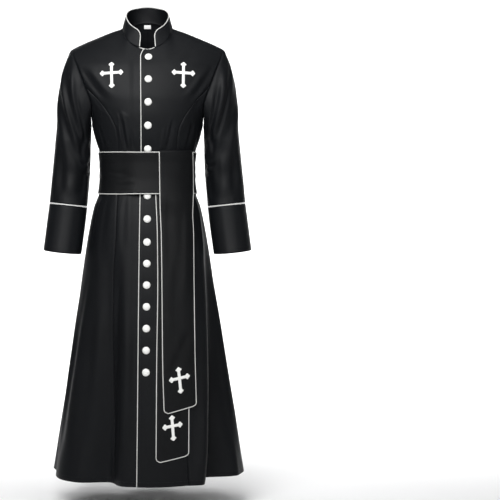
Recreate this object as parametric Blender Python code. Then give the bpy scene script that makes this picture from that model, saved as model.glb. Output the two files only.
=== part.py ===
"""A long black clergy robe, worn and filled out, with its own band sash.

Metres, +Z up. The robe faces -Y, and +X is the wearer's left. The origin is the
middle of the neck, at the height where the collar meets the shoulder seams.

Every cloth piece is a thin wall. The body is one smooth form, given by an angle
round the body and a height, and the panels are stretches of that form between
its seams. Whatever lies on a panel takes its points from the same form and moves
them out.
"""

import math
from collections import namedtuple

import bpy
import numpy as np

# Cloth and seams
WALL = 0.0016
SASH_WALL = 0.0022
SEAM_GAP = 0.0006
SEAT_GAP = 0.0005
PIPING_RADIUS = 0.0015
PIPING_SIDES = 4
PIPING_SEAT = PIPING_RADIUS + 0.0004

# The body form: half width at the sides, depth in front and behind, by height
BodyRow = namedtuple("BodyRow", "height half_width front_depth back_depth")
BODY = (
    BodyRow(-1.342, 0.287, 0.246, 0.256),
    BodyRow(-1.205, 0.266, 0.224, 0.234),
    BodyRow(-1.013, 0.236, 0.196, 0.204),
    BodyRow(-0.891, 0.218, 0.178, 0.185),
    BodyRow(-0.769, 0.201, 0.160, 0.166),
    BodyRow(-0.653, 0.184, 0.142, 0.147),
    BodyRow(-0.586, 0.172, 0.131, 0.132),
    BodyRow(-0.543, 0.162, 0.122, 0.119),
    BodyRow(-0.505, 0.148, 0.114, 0.107),
    BodyRow(-0.460, 0.143, 0.109, 0.097),
    BodyRow(-0.420, 0.143, 0.108, 0.093),
    BodyRow(-0.378, 0.147, 0.112, 0.095),
    BodyRow(-0.343, 0.158, 0.118, 0.101),
    BodyRow(-0.308, 0.167, 0.122, 0.106),
    BodyRow(-0.296, 0.170, 0.123, 0.107),
    BodyRow(-0.270, 0.181, 0.124, 0.110),
    BodyRow(-0.232, 0.200, 0.123, 0.113),
    BodyRow(-0.183, 0.230, 0.114, 0.114),
    BodyRow(-0.131, 0.262, 0.099, 0.107),
    BodyRow(-0.080, 0.290, 0.075, 0.095),
    BodyRow(-0.040, 0.300, 0.051, 0.082),
    BodyRow(0.000, 0.300, 0.028, 0.069),
    BodyRow(0.030, 0.300, 0.022, 0.056),
)
ROUNDNESS = 2.2

# The top of the shoulders: its height by the distance from the middle
RidgeRow = namedtuple("RidgeRow", "across height")
RIDGE = (
    RidgeRow(0.000, 0.120),
    RidgeRow(0.040, 0.095),
    RidgeRow(0.060, 0.055),
    RidgeRow(0.072, 0.018),
    RidgeRow(0.077, 0.000),
    RidgeRow(0.110, -0.012),
    RidgeRow(0.157, -0.031),
    RidgeRow(0.212, -0.055),
    RidgeRow(0.231, -0.066),
)
RIDGE_ROUNDING = 0.120
RIDGE_START = 0.015
RIDGE_SLOPE = 0.42

# Neckline
NECK_HALF_WIDTH = 0.077
NECK_FRONT_DROP = 0.072
NECK_BACK_RISE = 0.024

# Armhole: its angle round the body in front, and from the middle of the back behind,
# by the angle down its loop from the shoulder tip
ArmholeRow = namedtuple("ArmholeRow", "degrees front back")
ARMHOLE = (
    ArmholeRow(0, 49.5, 49.5),
    ArmholeRow(30, 49.6, 50.1),
    ArmholeRow(60, 50.2, 52.4),
    ArmholeRow(90, 52.4, 57.5),
    ArmholeRow(120, 56.5, 63.5),
    ArmholeRow(150, 70.5, 75.5),
    ArmholeRow(180, 90.0, 90.0),
)
ARMHOLE_TOP = -0.066
ARMHOLE_BOTTOM = -0.296
ARMHOLE_SPLIT = 95.0

# Princess seams: the distance from the middle, by height
SeamRow = namedtuple("SeamRow", "height across")
PRINCESS = (
    SeamRow(-1.342, 0.117),
    SeamRow(-1.013, 0.113),
    SeamRow(-0.769, 0.107),
    SeamRow(-0.630, 0.095),
    SeamRow(-0.514, 0.0895),
    SeamRow(-0.440, 0.086),
    SeamRow(-0.378, 0.087),
    SeamRow(-0.326, 0.092),
    SeamRow(-0.288, 0.107),
    SeamRow(-0.249, 0.133),
    SeamRow(-0.209, 0.165),
)

# Front edge that laps over, with its piping: the distance past the middle, by height
LAP_EDGE = (
    SeamRow(-1.357, 0.0300),
    SeamRow(-0.765, 0.0255),
    SeamRow(-0.510, 0.0220),
    SeamRow(-0.380, 0.0190),
    SeamRow(-0.098, 0.0205),
    SeamRow(-0.072, 0.0110),
)
UNDERLAP = 0.022
LAP_DEPTH = 0.0026
LAP_FLAT = 0.037
LAP_FADE = 0.022
FRONT_CORD_SINK = 0.0002
NECK_CORD_START = 0.10
NECK_CORD_END = 0.42

# Skirt flutes: angles from the front at the waist and the hem, in degrees,
# positive to the wearer's left, and how far each stands out (or in) at the hem
FluteRow = namedtuple("FluteRow", "waist_angle hem_angle half_angle depth start")
FLUTES = (
    FluteRow(-35, -28, 15, -0.050, -0.56),
    FluteRow(-70, -54, 20, 0.014, -0.70),
    FluteRow(-85, -80, 14, -0.012, -0.75),
    FluteRow(0, 2, 26, 0.010, -0.70),
    FluteRow(60, 31, 9, 0.010, -0.60),
    FluteRow(82, 50, 19, -0.078, -0.50),
    FluteRow(88, 82, 13, 0.006, -0.80),
    FluteRow(112, 110, 17, -0.040, -0.58),
    FluteRow(138, 136, 15, 0.014, -0.62),
    FluteRow(160, 161, 14, -0.045, -0.55),
    FluteRow(180, 182, 14, 0.012, -0.60),
    FluteRow(204, 206, 15, -0.048, -0.56),
    FluteRow(226, 228, 15, 0.012, -0.62),
    FluteRow(250, 249, 17, -0.042, -0.60),
)
FLUTE_GROWTH = 1.25
HEM_HEIGHT = -1.343
HEM_FRONT_DIP = 0.013

# Heights of the panel rows below the chest, and how many rows and columns they have
CHEST = -0.308
ROW_HEIGHTS = (
    -0.308, -0.343, -0.378, -0.420, -0.462, -0.505, -0.543, -0.586,
    -0.640, -0.714, -0.800, -0.900, -1.010, -1.120, -1.232, HEM_HEIGHT,
)
NECK_EDGE_COLUMNS = 2
NECK_SIDE_COLUMNS = 5
NECK_COLUMNS = NECK_EDGE_COLUMNS + NECK_SIDE_COLUMNS
SHOULDER_COLUMNS = 5
SIDE_FRONT_COLUMNS = 12
UPPER_ROWS = 5
PRINCESS_ROWS = 3
BACK_ROWS = 8

# Sleeve rings below the armpit: the middle of the ring, its half width and half depth
SleeveRow = namedtuple("SleeveRow", "across forward height half_width half_depth")
SLEEVE = (
    SleeveRow(0.2268, 0.000, -0.348, 0.0545, 0.0660),
    SleeveRow(0.2290, 0.003, -0.390, 0.0560, 0.0655),
    SleeveRow(0.2322, 0.003, -0.438, 0.0572, 0.0645),
    SleeveRow(0.2362, -0.003, -0.488, 0.0578, 0.0635),
    SleeveRow(0.2402, -0.012, -0.538, 0.0578, 0.0625),
)
CUFF = (
    SleeveRow(0.2405, -0.0127, -0.5416, 0.0580, 0.0628),
    SleeveRow(0.2455, -0.022, -0.588, 0.0580, 0.0625),
    SleeveRow(0.2510, -0.034, -0.636, 0.0577, 0.0620),
    SleeveRow(0.2565, -0.047, -0.683, 0.0573, 0.0615),
)
SLEEVE_LEAN = math.radians(6.0)
CUFF_PITCH = math.radians(-3.0)
SLEEVE_HEAD_ROWS = 7

# Standing collar: the height of its top edge by the angle from the front, then its size there
CollarRow = namedtuple("CollarRow", "degrees height")
COLLAR_TOP = (
    CollarRow(18, -0.021),
    CollarRow(50, 0.001),
    CollarRow(90, 0.036),
    CollarRow(135, 0.062),
    CollarRow(180, 0.072),
)
COLLAR_END = 19.7
COLLAR_TOP_HALF_WIDTH = 0.0665
COLLAR_TOP_FRONT = 0.061
COLLAR_TOP_BACK = 0.051
COLLAR_CORNER = 12.0
COLLAR_ROWS = 3
COLLAR_END_SHARE = 0.72

# Sash band, which stands off the body over the buttons and the tucked tail ends
BAND_TOP = -0.3810
BAND_BOTTOM = -0.5034
BAND_FRONT_DIP = 0.0070
BAND_STAND_OFF = 0.0016
BAND_FRONT_STAND_OFF = 0.0092
BAND_RISE_START = -34.0
BAND_RISE = 24.0
BAND_FALL_START = 61.0
BAND_FALL = 22.0
BAND_COLUMNS = 48
BAND_ROWS = 3

# Buttons: 15 down the front edge that laps over
ButtonRun = namedtuple("ButtonRun", "first pitch count")
BODICE_BUTTONS = ButtonRun(-0.1005, 0.0700, 8)
SKIRT_BUTTONS = ButtonRun(-0.6540, 0.0630, 7)
BUTTON_RADIUS = 0.0117
BUTTON_HEIGHT = 0.0070
BUTTON_SIDES = 11
BUTTON_RIM = 0.0022
BUTTON_FOOT_SHARE = 0.90
BUTTON_DOME_TURNS = (0.55, 1.10)
BUTTON_TOP_ACROSS = 0.003
BUTTON_BOTTOM_ACROSS = -0.0045

# Crosses: bar widths, the flare of the four ends, and where each lies
CrossPlace = namedtuple("CrossPlace", "name across height width tall tilt")
CHEST_CROSSES = (
    CrossPlace("cross_chest_right", -0.1070, -0.1495, 0.070, 0.080, 0.05),
    CrossPlace("cross_chest_left", 0.1070, -0.1495, 0.070, 0.080, -0.05),
)
CROSS_BAR = 0.0085
CROSS_FLARE = 0.0185
CROSS_FLARE_START = 0.0140
CROSS_FLARE_END = 0.0075
CROSS_UPPER_SHARE = 0.42
CROSS_THICKNESS = 0.0012
CROSS_TIP_HALF_WIDTH = 0.0012
CROSS_STEP = 0.011
CROSS_LEAN = 0.45

# Sash tails: the distance of each long edge's piping from the middle, by height
TailRow = namedtuple("TailRow", "height inner outer")
UPPER_TAIL = (
    TailRow(-1.140, 0.0465, 0.1405),
    TailRow(-1.000, 0.0428, 0.1365),
    TailRow(-0.800, 0.0415, 0.1345),
    TailRow(-0.640, 0.0398, 0.1338),
    TailRow(-0.510, 0.0345, 0.1270),
    TailRow(-0.380, 0.0330, 0.1250),
)
UNDER_TAIL = (
    TailRow(-1.280, 0.0243, 0.1180),
    TailRow(-1.000, 0.0265, 0.1205),
    TailRow(-0.765, 0.0300, 0.1240),
    TailRow(-0.640, 0.0290, 0.1230),
    TailRow(-0.480, 0.0225, 0.1160),
)
UPPER_TAIL_CORNERS = (-1.1495, -1.1320)
UNDER_TAIL_CORNERS = (-1.2860, -1.2720)
UNDER_TAIL_TOP = -0.478
UPPER_TAIL_START = -0.408
TAIL_COLUMNS = 6
TAIL_CORNER_RADIUS = 0.012
UNDER_TAIL_OFFSET = 0.0034
UPPER_TAIL_OFFSET = 0.0068
OVER_BAND_OFFSET = 0.0156
BEHIND_BAND_OFFSET = 0.0026
FOLD_RISE = 0.0010
TUCK_LENGTH = 0.030
TAIL_CROSSES = (
    CrossPlace("cross_tail_upper", 0.0905, -1.0500, 0.061, 0.077, 0.21),
    CrossPlace("cross_tail_under", 0.0713, -1.1850, 0.059, 0.073, 0.16),
)

# Blank label inside the back of the neck
LABEL_HALF_WIDTH = 0.0105
LABEL_TOP = 0.0195
LABEL_BOTTOM = 0.0085
LABEL_THICKNESS = 0.0006
LABEL_SEAT = 0.0014

BLACK = (0.0105, 0.0115, 0.0130, 1.0)
WHITE = (0.78, 0.78, 0.77, 1.0)


# Interpolation

def smooth_curve(places, values):
    """Return a smooth function through a table that never overshoots its rows."""
    order = np.argsort(places)
    xs = np.asarray(places, float)[order]
    ys = np.asarray(values, float)[order]
    steps = np.diff(xs)
    slopes = np.diff(ys) / steps
    tangents = np.zeros_like(ys)
    tangents[0] = slopes[0]
    tangents[-1] = slopes[-1]
    for i in range(1, len(xs) - 1):
        before, after = slopes[i - 1], slopes[i]
        if before * after > 0:
            weight = steps[i - 1] + 2 * steps[i], 2 * steps[i - 1] + steps[i]
            tangents[i] = sum(weight) / (weight[1] / before + weight[0] / after)

    def value(x):
        """Give the curve's value at x, held at its end values outside the table."""
        x = np.clip(x, xs[0], xs[-1])
        i = np.clip(np.searchsorted(xs, x) - 1, 0, len(steps) - 1)
        t = (x - xs[i]) / steps[i]
        rise = (1 + 2 * t) * (1 - t) ** 2 * ys[i] + t ** 2 * (3 - 2 * t) * ys[i + 1]
        bend = t * (1 - t) ** 2 * tangents[i] - t ** 2 * (1 - t) * tangents[i + 1]
        return rise + bend * steps[i]

    return value


def column_curve(table, place, column):
    """Return the smooth curve of one named column of a table."""
    return smooth_curve([getattr(row, place) for row in table],
                        [getattr(row, column) for row in table])


def fade(x):
    """Rise smoothly from 0 to 1 as x goes from 0 to 1."""
    x = np.clip(x, 0.0, 1.0)
    return x * x * (3 - 2 * x)


def unit(vectors):
    """Return vectors scaled to length one."""
    return vectors / np.linalg.norm(vectors, axis=-1, keepdims=True)


half_width_at = column_curve(BODY, "height", "half_width")
front_depth_at = column_curve(BODY, "height", "front_depth")
back_depth_at = column_curve(BODY, "height", "back_depth")
ridge_at = column_curve(RIDGE, "across", "height")
princess_at = column_curve(PRINCESS, "height", "across")
lap_edge_at = column_curve(LAP_EDGE, "height", "across")
collar_top_at = column_curve(COLLAR_TOP, "degrees", "height")


# The body form

def flute_offset(angle, height):
    """How far the skirt's flutes move the form in or out."""
    degrees = np.degrees(angle) % 360.0
    offset = np.zeros(np.broadcast(angle, height).shape)
    for flute in FLUTES:
        drop = np.clip((flute.start - height) / (flute.start - HEM_HEIGHT), 0.0, 1.05)
        centre = flute.waist_angle + (flute.hem_angle - flute.waist_angle) * drop
        away = (degrees - centre + 180.0) % 360.0 - 180.0
        share = np.clip(np.abs(away) / flute.half_angle, 0.0, 1.0)
        offset = offset + flute.depth * drop ** FLUTE_GROWTH * np.cos(share * math.pi / 2) ** 2
    return offset


def body_point(angle, height, lift=0.0):
    """The body form's point at an angle from the front and a height, moved out by lift."""
    points = body_base(angle, height)
    if np.any(lift):
        points = points + body_normal(angle, height) * np.asarray(lift)[..., None]
    return points


def body_base(angle, height):
    """The body form's own point."""
    angle, height = np.broadcast_arrays(np.asarray(angle, float), np.asarray(height, float))
    sine, cosine = np.sin(angle), np.cos(angle)
    scale = (np.abs(sine) ** ROUNDNESS + np.abs(cosine) ** ROUNDNESS) ** (-1 / ROUNDNESS)
    depth = np.where(cosine > 0, front_depth_at(height), back_depth_at(height))
    x = half_width_at(height) * scale * sine
    y = -depth * scale * cosine
    across = np.abs(x)
    below = np.clip((ridge_at(across) - height) / RIDGE_ROUNDING, 0.0, 1.0)
    share = fade((across - RIDGE_START) / (NECK_HALF_WIDTH - RIDGE_START))
    y = y * (1 - share * (1 - np.sqrt(1 - (1 - below) ** 2)))
    reach = np.hypot(x, y)
    out = 1 + flute_offset(angle, height) / np.maximum(reach, 0.02)
    return np.stack([x * out, y * out, height], axis=-1)


def body_normal(angle, height):
    """The outward direction of the body form."""
    turn, rise = 0.004, 0.0012
    round_it = body_base(angle + turn, height) - body_base(angle - turn, height)
    up_it = body_base(angle, height + rise) - body_base(angle, height - rise)
    return unit(np.cross(round_it, up_it))


def angle_at(across, height, behind=False):
    """The angle at which the form has this distance from the middle at this height."""
    share = np.clip(np.asarray(across, float) / half_width_at(height), -1.0, 1.0)
    other = (1 - np.abs(share) ** ROUNDNESS) ** (1 / ROUNDNESS)
    angle = np.arctan2(share, other)
    return np.pi - angle if behind else angle


def angle_under_flutes(across, height):
    """The same in front, with the flutes' own reach taken off."""
    angle = angle_at(across, height)
    for _ in range(4):
        error = body_base(angle, height)[..., 0] - across
        angle = angle - error / (half_width_at(height) * 1.05)
    return angle


def hem_height(angle):
    """Height of the hem, a little lower in front."""
    return HEM_HEIGHT - HEM_FRONT_DIP * np.clip(np.cos(angle), 0.0, 1.0)


# Meshes

def new_object(name, vertices, faces, material, smooth=True):
    """Make one named object from points and faces, with its faces pointing out."""
    mesh = bpy.data.meshes.new(name)
    mesh.from_pydata([tuple(map(float, v)) for v in vertices], [], faces)
    if signed_volume(vertices, faces) < 0:
        mesh.flip_normals()
    if smooth:
        mesh.shade_smooth()
        mesh.set_sharp_from_angle(angle=math.radians(45))
    mesh.materials.append(material)
    made = bpy.data.objects.new(name, mesh)
    bpy.context.scene.collection.objects.link(made)
    return made


def signed_volume(vertices, faces):
    """The enclosed volume, negative where the faces point inwards."""
    points = np.asarray(vertices, float)
    total = 0.0
    for face in faces:
        first = points[face[0]]
        for second, third in zip(face[1:-1], face[2:]):
            total += np.dot(first, np.cross(points[second], points[third]))
    return total / 6


def grid_faces(rows, columns, start, closed, reverse):
    """Faces of a grid of points, row after row, closed round its columns if asked."""
    faces = []
    for i in range(rows - 1):
        for j in range(columns if closed else columns - 1):
            k = (j + 1) % columns
            quad = [i * columns + j, i * columns + k, (i + 1) * columns + k, (i + 1) * columns + j]
            quad = [start + corner for corner in quad]
            faces.append(quad[::-1] if reverse else quad)
    return faces


def wall_faces(points, start, closed, reverse):
    """Triangles of one side of a wall; both sides split each quad the same way."""
    rows, columns = points.shape[:2]
    flat = points.reshape(-1, 3)
    faces = []
    for quad in grid_faces(rows, columns, 0, closed, False):
        a, b, c, d = quad
        if np.linalg.norm(flat[a] - flat[c]) <= np.linalg.norm(flat[b] - flat[d]):
            pair = [a, b, c], [a, c, d]
        else:
            pair = [a, b, d], [b, c, d]
        for triangle in pair:
            triangle = [start + corner for corner in triangle]
            faces.append(triangle[::-1] if reverse else triangle)
    return faces


def wall_object(name, outer, inner, material, closed=False):
    """A cloth wall between two grids of points, with its rims filled."""
    rows, columns = outer.shape[:2]
    count = rows * columns
    vertices = np.concatenate([outer.reshape(-1, 3), inner.reshape(-1, 3)])
    faces = wall_faces(outer, 0, closed, False)
    faces += wall_faces(outer, count, closed, True)
    last = (rows - 1) * columns
    for j in range(columns if closed else columns - 1):
        k = (j + 1) % columns
        faces.append([k, j, count + j, count + k])
        faces.append([last + j, last + k, count + last + k, count + last + j])
    if not closed:
        for i in range(rows - 1):
            a, b = i * columns, (i + 1) * columns
            faces.append([a, b, count + b, count + a])
            a, b = a + columns - 1, b + columns - 1
            faces.append([b, a, count + a, count + b])
    return new_object(name, vertices, faces, material)


def grid_normals(points, closed=False):
    """Outward directions of a grid whose rows run down and columns run round."""
    down = np.gradient(points, axis=0)
    if closed:
        round_it = np.roll(points, -1, axis=1) - np.roll(points, 1, axis=1)
    else:
        round_it = np.gradient(points, axis=1)
    return unit(np.cross(down, round_it))


def tube_object(name, path, radius, material, closed=False, sides=PIPING_SIDES):
    """A round cord along a path of points."""
    path = np.asarray(path, float)
    if closed:
        along = unit(np.roll(path, -1, axis=0) - np.roll(path, 1, axis=0))
    else:
        along = unit(np.gradient(path, axis=0))
    side = unit(np.cross(along[0], (0.31, 0.52, 0.79)))
    rings = []
    for i, point in enumerate(path):
        side = unit(side - along[i] * np.dot(side, along[i]))
        other = np.cross(along[i], side)
        for k in range(sides):
            turn = 2 * math.pi * k / sides
            rings.append(point + radius * (math.cos(turn) * side + math.sin(turn) * other))
    rows = len(path)
    if closed:
        shift = closing_shift(np.asarray(rings).reshape(rows, sides, 3))
        faces = grid_faces(rows, sides, 0, True, False)
        last = (rows - 1) * sides
        for k in range(sides):
            m = (k + 1) % sides
            faces.append([last + k, last + m, (m + shift) % sides, (k + shift) % sides])
        return new_object(name, rings, faces, material)
    faces = grid_faces(rows, sides, 0, True, False)
    faces.append(list(range(sides))[::-1])
    faces.append([(rows - 1) * sides + k for k in range(sides)])
    return new_object(name, rings, faces, material)


def closing_shift(rings):
    """How many corners the last ring is turned against the first."""
    sides = rings.shape[1]
    errors = [np.linalg.norm(rings[-1] - np.roll(rings[0], -s, axis=0)) for s in range(sides)]
    return int(np.argmin(errors))


def edge_cord_path(edge, normals, sink, inward):
    """Path of a cord beside an edge: sunk into the wall, and clear of it sideways.

    inward is a point of the cloth near the edge's middle, which tells its two sides apart.
    """
    base = edge - normals * sink
    ahead = unit(np.diff(base, axis=0))
    before = np.concatenate([ahead[:1], ahead])
    after = np.concatenate([ahead, ahead[-1:]])
    out_before = unit(np.cross(before, normals))
    out_after = unit(np.cross(after, normals))
    if np.dot(inward - base[len(base) // 2], out_after[len(base) // 2]) > 0:
        out_before, out_after = -out_before, -out_after
    bisector = unit(out_before + out_after)
    reach = np.clip(np.sum(bisector * out_before, axis=1, keepdims=True), 0.5, 1.0)
    return base + bisector * PIPING_SEAT / reach


def inset(grid, edge, distance):
    """Move one edge of a grid of points towards its neighbours."""
    edges = {"top": ((0,), (1,)), "bottom": ((-1,), (-2,)),
             "first": ((slice(None), 0), (slice(None), 1)),
             "last": ((slice(None), -1), (slice(None), -2))}
    own, near = edges[edge]
    grid[own] = grid[own] + unit(grid[near] - grid[own]) * distance


# Panels

def neck_angle(turn, behind):
    """Angle round the body form of the neckline's point at a turn from the front."""
    across = NECK_HALF_WIDTH * np.sin(turn)
    return angle_at(across, neck_height(turn, behind), behind)


def neck_height(turn, behind):
    """Height of the neckline at a turn from the front, or from the back."""
    if behind:
        return NECK_BACK_RISE * np.cos(turn) ** 2
    return -NECK_FRONT_DROP * np.cos(turn)


def armhole_domain(degrees, behind):
    """Angle and height of the armhole's edge at an angle from the shoulder tip."""
    middle = (ARMHOLE_TOP + ARMHOLE_BOTTOM) / 2
    reach = (ARMHOLE_TOP - ARMHOLE_BOTTOM) / 2
    height = middle + reach * np.cos(np.radians(degrees))
    angle = np.radians(column_curve(ARMHOLE, "degrees", "back" if behind else "front")(degrees))
    return (np.pi - angle if behind else angle), height


def blend_patch(top, bottom, left, right):
    """Fill four border curves of angle and height with a smooth patch of both."""
    rows, columns = len(left), len(top)
    u = np.linspace(0, 1, columns)[None, :, None]
    v = np.linspace(0, 1, rows)[:, None, None]
    ruled_v = (1 - v) * top[None] + v * bottom[None]
    ruled_u = (1 - u) * left[:, None] + u * right[:, None]
    corners = ((1 - u) * (1 - v) * top[0] + u * (1 - v) * top[-1]
               + (1 - u) * v * bottom[0] + u * v * bottom[-1])
    return ruled_v + ruled_u - corners


def domain(angles, heights):
    """Pair angles with heights."""
    angles, heights = np.broadcast_arrays(angles, heights)
    return np.stack([angles, heights], axis=-1)


def neck_turns(first_turn):
    """Turns of a front panel's neckline columns: its edge, the collar's end, the shoulder."""
    collar_end = math.radians(COLLAR_END)
    edge = np.linspace(first_turn, collar_end, NECK_EDGE_COLUMNS + 1)
    return np.concatenate([edge, np.linspace(collar_end, math.pi / 2, NECK_SIDE_COLUMNS + 1)[1:]])


def top_border(turns, behind):
    """Neckline and shoulder seam, from the front edge or the back's middle to the tip."""
    neck = domain(neck_angle(turns, behind), neck_height(turns, behind))
    across = np.linspace(NECK_HALF_WIDTH, RIDGE[-1].across, SHOULDER_COLUMNS + 1)[1:]
    heights = ridge_at(across)
    shoulder = domain(angle_at(across, heights, behind), heights)
    shoulder[-1] = armhole_domain(0.0, behind)
    return np.concatenate([neck, shoulder])


def eased(first, last, rows, power):
    """Heights that start close together and spread out."""
    return first + (last - first) * np.linspace(0, 1, rows + 1) ** power


def lower_heights(angles):
    """Heights of the rows below the chest for columns at these hem angles."""
    rows = np.asarray(ROW_HEIGHTS)[:, None]
    stretch = (hem_height(angles) - CHEST) / (HEM_HEIGHT - CHEST)
    return CHEST + (rows - CHEST) * stretch[None, :]


def lower_patch(left_at, right_at, columns):
    """Angle and height of a panel's rows from the chest to the hem."""
    share = np.linspace(0, 1, columns)
    hem_angles = left_at(HEM_HEIGHT) + (right_at(HEM_HEIGHT) - left_at(HEM_HEIGHT)) * share
    heights = lower_heights(hem_angles)
    left, right = left_at(heights[:, :1]), right_at(heights[:, -1:])
    return domain(left + (right - left) * share[None, :], heights)


def front_domain(edge_at):
    """Angle and height of a front panel's points, for the wearer's left side."""
    split_angle, split_height = armhole_domain(ARMHOLE_SPLIT, False)
    corner = edge_corner(edge_at)
    top = top_border(neck_turns(corner), False)
    left_heights = eased(top[0, 1], split_height, UPPER_ROWS, 1.2)
    left = domain(-angle_at(edge_at(left_heights), left_heights), left_heights)
    left[0] = top[0]
    degrees = ARMHOLE_SPLIT * np.linspace(0, 1, UPPER_ROWS + 1)
    right = np.stack(armhole_domain(degrees, False), axis=-1)
    columns = len(top)
    bottom = domain(np.linspace(left[-1, 0], split_angle, columns), split_height)
    upper = blend_patch(top, bottom, left, right)
    share = np.linspace(0, 1, columns)[None, :]
    heights = np.linspace(split_height, CHEST, PRINCESS_ROWS + 1)[1:-1, None]
    seam = princess_angle(heights)
    edge = -angle_at(edge_at(heights), heights)
    middle = domain(edge + (seam - edge) * share, heights)
    lower = lower_patch(lambda z: -angle_at(edge_at(z), z), princess_angle, columns)
    return np.concatenate([upper, middle, lower])


def edge_corner(edge_at):
    """Turn along the neckline at which a front panel's edge meets it."""
    height = -NECK_FRONT_DROP
    return -math.asin(float(edge_at(height)) / NECK_HALF_WIDTH)


def princess_angle(height):
    """Angle of the princess seam; it leaves the armhole where that is split."""
    return angle_at(princess_at(height), height)


def side_front_domain():
    """Angle and height of a side front panel's points."""
    columns = SIDE_FRONT_COLUMNS + 1
    degrees = ARMHOLE_SPLIT + (180 - ARMHOLE_SPLIT) * np.linspace(0, 1, columns)
    top = np.stack(armhole_domain(degrees, False), axis=-1)
    left_heights = np.linspace(top[0, 1], CHEST, PRINCESS_ROWS + 1)
    left = domain(princess_angle(left_heights), left_heights)
    left[0] = top[0]
    right = domain(math.pi / 2, np.linspace(top[-1, 1], CHEST, PRINCESS_ROWS + 1))
    bottom = domain(np.linspace(left[-1, 0], math.pi / 2, columns), CHEST)
    upper = blend_patch(top, bottom, left, right)
    lower = lower_patch(princess_angle, lambda z: np.full_like(z, math.pi / 2), columns)
    return np.concatenate([upper[:-1], lower])


def back_neck_turns():
    """Turns of a back panel's neckline columns, from the middle to the shoulder."""
    return np.linspace(0.0, math.pi / 2, NECK_COLUMNS + 1)


def back_domain():
    """Angle and height of a back panel's points, from the middle to the side seam."""
    top = top_border(back_neck_turns(), True)
    columns = len(top)
    centre = domain(math.pi, eased(NECK_BACK_RISE, CHEST, BACK_ROWS, 1.15))
    degrees = 180 * np.linspace(0, 1, BACK_ROWS)
    armhole = np.stack(armhole_domain(degrees, True), axis=-1)
    right = np.concatenate([armhole, [[math.pi / 2, CHEST]]])
    bottom = domain(np.linspace(math.pi, math.pi / 2, columns), CHEST)
    upper = blend_patch(top, bottom, centre, right)
    lower = lower_patch(lambda z: np.full_like(z, math.pi), lambda z: np.full_like(z, math.pi / 2),
                        columns)
    return np.concatenate([upper[:-1], lower])


def mirrored(grid, side):
    """Turn angles to the wearer's right side where side is -1."""
    grid = grid.copy()
    grid[..., 0] = grid[..., 0] * side
    return grid


def shoulder_normals(normals, points, side):
    """Point the top row upwards along the shoulder seam, where the form folds over."""
    on_ridge = np.abs(points[0, :, 0]) >= NECK_HALF_WIDTH - 1e-6
    upward = unit(np.array([RIDGE_SLOPE * side, 0.0, 1.0]))
    normals[0, on_ridge] = upward


def panel_walls(grid, side, lap=None):
    """Outer and inner points of a panel from its angles and heights."""
    grid = mirrored(grid, side)
    points = body_base(grid[..., 0], grid[..., 1])
    normals = body_normal(grid[..., 0], grid[..., 1])
    shoulder_normals(normals, points, side)
    if lap is not None:
        points = points - normals * lap(points[..., 0] * side)[..., None]
    return points, normals


def underlap_depth(across):
    """How far the front that lies under is set in near the middle."""
    return LAP_DEPTH * (1 - fade((across - LAP_FLAT) / LAP_FADE))


def make_front(side, black):
    """One front panel: the wearer's left one laps over the right one."""
    if side > 0:
        edge_at = lambda z: lap_edge_at(z) - PIPING_SEAT
        points, normals = panel_walls(front_domain(edge_at), side)
    else:
        edge_at = lambda z: np.full_like(np.asarray(z, float), UNDERLAP)
        points, normals = panel_walls(front_domain(edge_at), side, underlap_depth)
    rows = slice(0, UPPER_ROWS + 1)
    offsets = normals * WALL
    offsets[rows, -1] = armhole_mitre(np.linspace(0, ARMHOLE_SPLIT, UPPER_ROWS + 1), False, side) * WALL
    for column, turn in enumerate(neck_turns(0.0)):
        if column >= NECK_EDGE_COLUMNS:
            offsets[0, column] = neck_mitre(turn * side) * WALL
    points[0, NECK_COLUMNS:, 1] -= SEAM_GAP / 2
    inset(points, "last", SEAM_GAP / 2)
    name = "front_left" if side > 0 else "front_right"
    wall_object(name, points, points - offsets, black)
    return points, normals


def make_side_front(side, black):
    """The panel between the princess seam and the side seam."""
    points, normals = panel_walls(side_front_domain(), side)
    offsets = normals * WALL
    degrees = ARMHOLE_SPLIT + (180 - ARMHOLE_SPLIT) * np.linspace(0, 1, SIDE_FRONT_COLUMNS + 1)
    offsets[0] = armhole_mitre(degrees, False, side) * WALL
    inset(points, "first", SEAM_GAP / 2)
    inset(points, "last", SEAM_GAP / 2)
    inset(points, "top", SEAM_GAP / 2)
    name = "side_front_left" if side > 0 else "side_front_right"
    return wall_object(name, points, points - offsets, black)


def make_back(side, black):
    """Half of the back, from the middle seam to the side seam."""
    points, normals = panel_walls(back_domain(), side)
    offsets = normals * WALL
    rows = slice(0, BACK_ROWS)
    offsets[rows, -1] = armhole_mitre(180 * np.linspace(0, 1, BACK_ROWS), True, side) * WALL
    for column, turn in enumerate(back_neck_turns()):
        offsets[0, column] = neck_mitre((math.pi - turn) * side) * WALL
    points[0, NECK_COLUMNS:, 1] += SEAM_GAP / 2
    inset(points, "first", SEAM_GAP / 2)
    inset(points, "last", SEAM_GAP / 2)
    name = "back_left" if side > 0 else "back_right"
    return wall_object(name, points, points - offsets, black)


# Sleeves

def sleeve_start(degrees, behind, side):
    """Direction in which the sleeve leaves the armhole."""
    turn = np.radians(np.asarray(degrees, float))
    level = np.sin(turn) ** 2
    top = np.where(np.cos(turn) > 0, np.cos(turn) ** 2, 0.0)
    bottom = np.where(np.cos(turn) > 0, 0.0, np.cos(turn) ** 2)
    facing = 1.0 if behind else -1.0
    start = (top[..., None] * np.array([0.50, 0.0, -0.85])
             + bottom[..., None] * np.array([0.10, 0.0, -1.0])
             + level[..., None] * np.array([0.78, 0.30 * facing, -0.55]))
    start[..., 0] *= side
    return unit(start)


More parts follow.
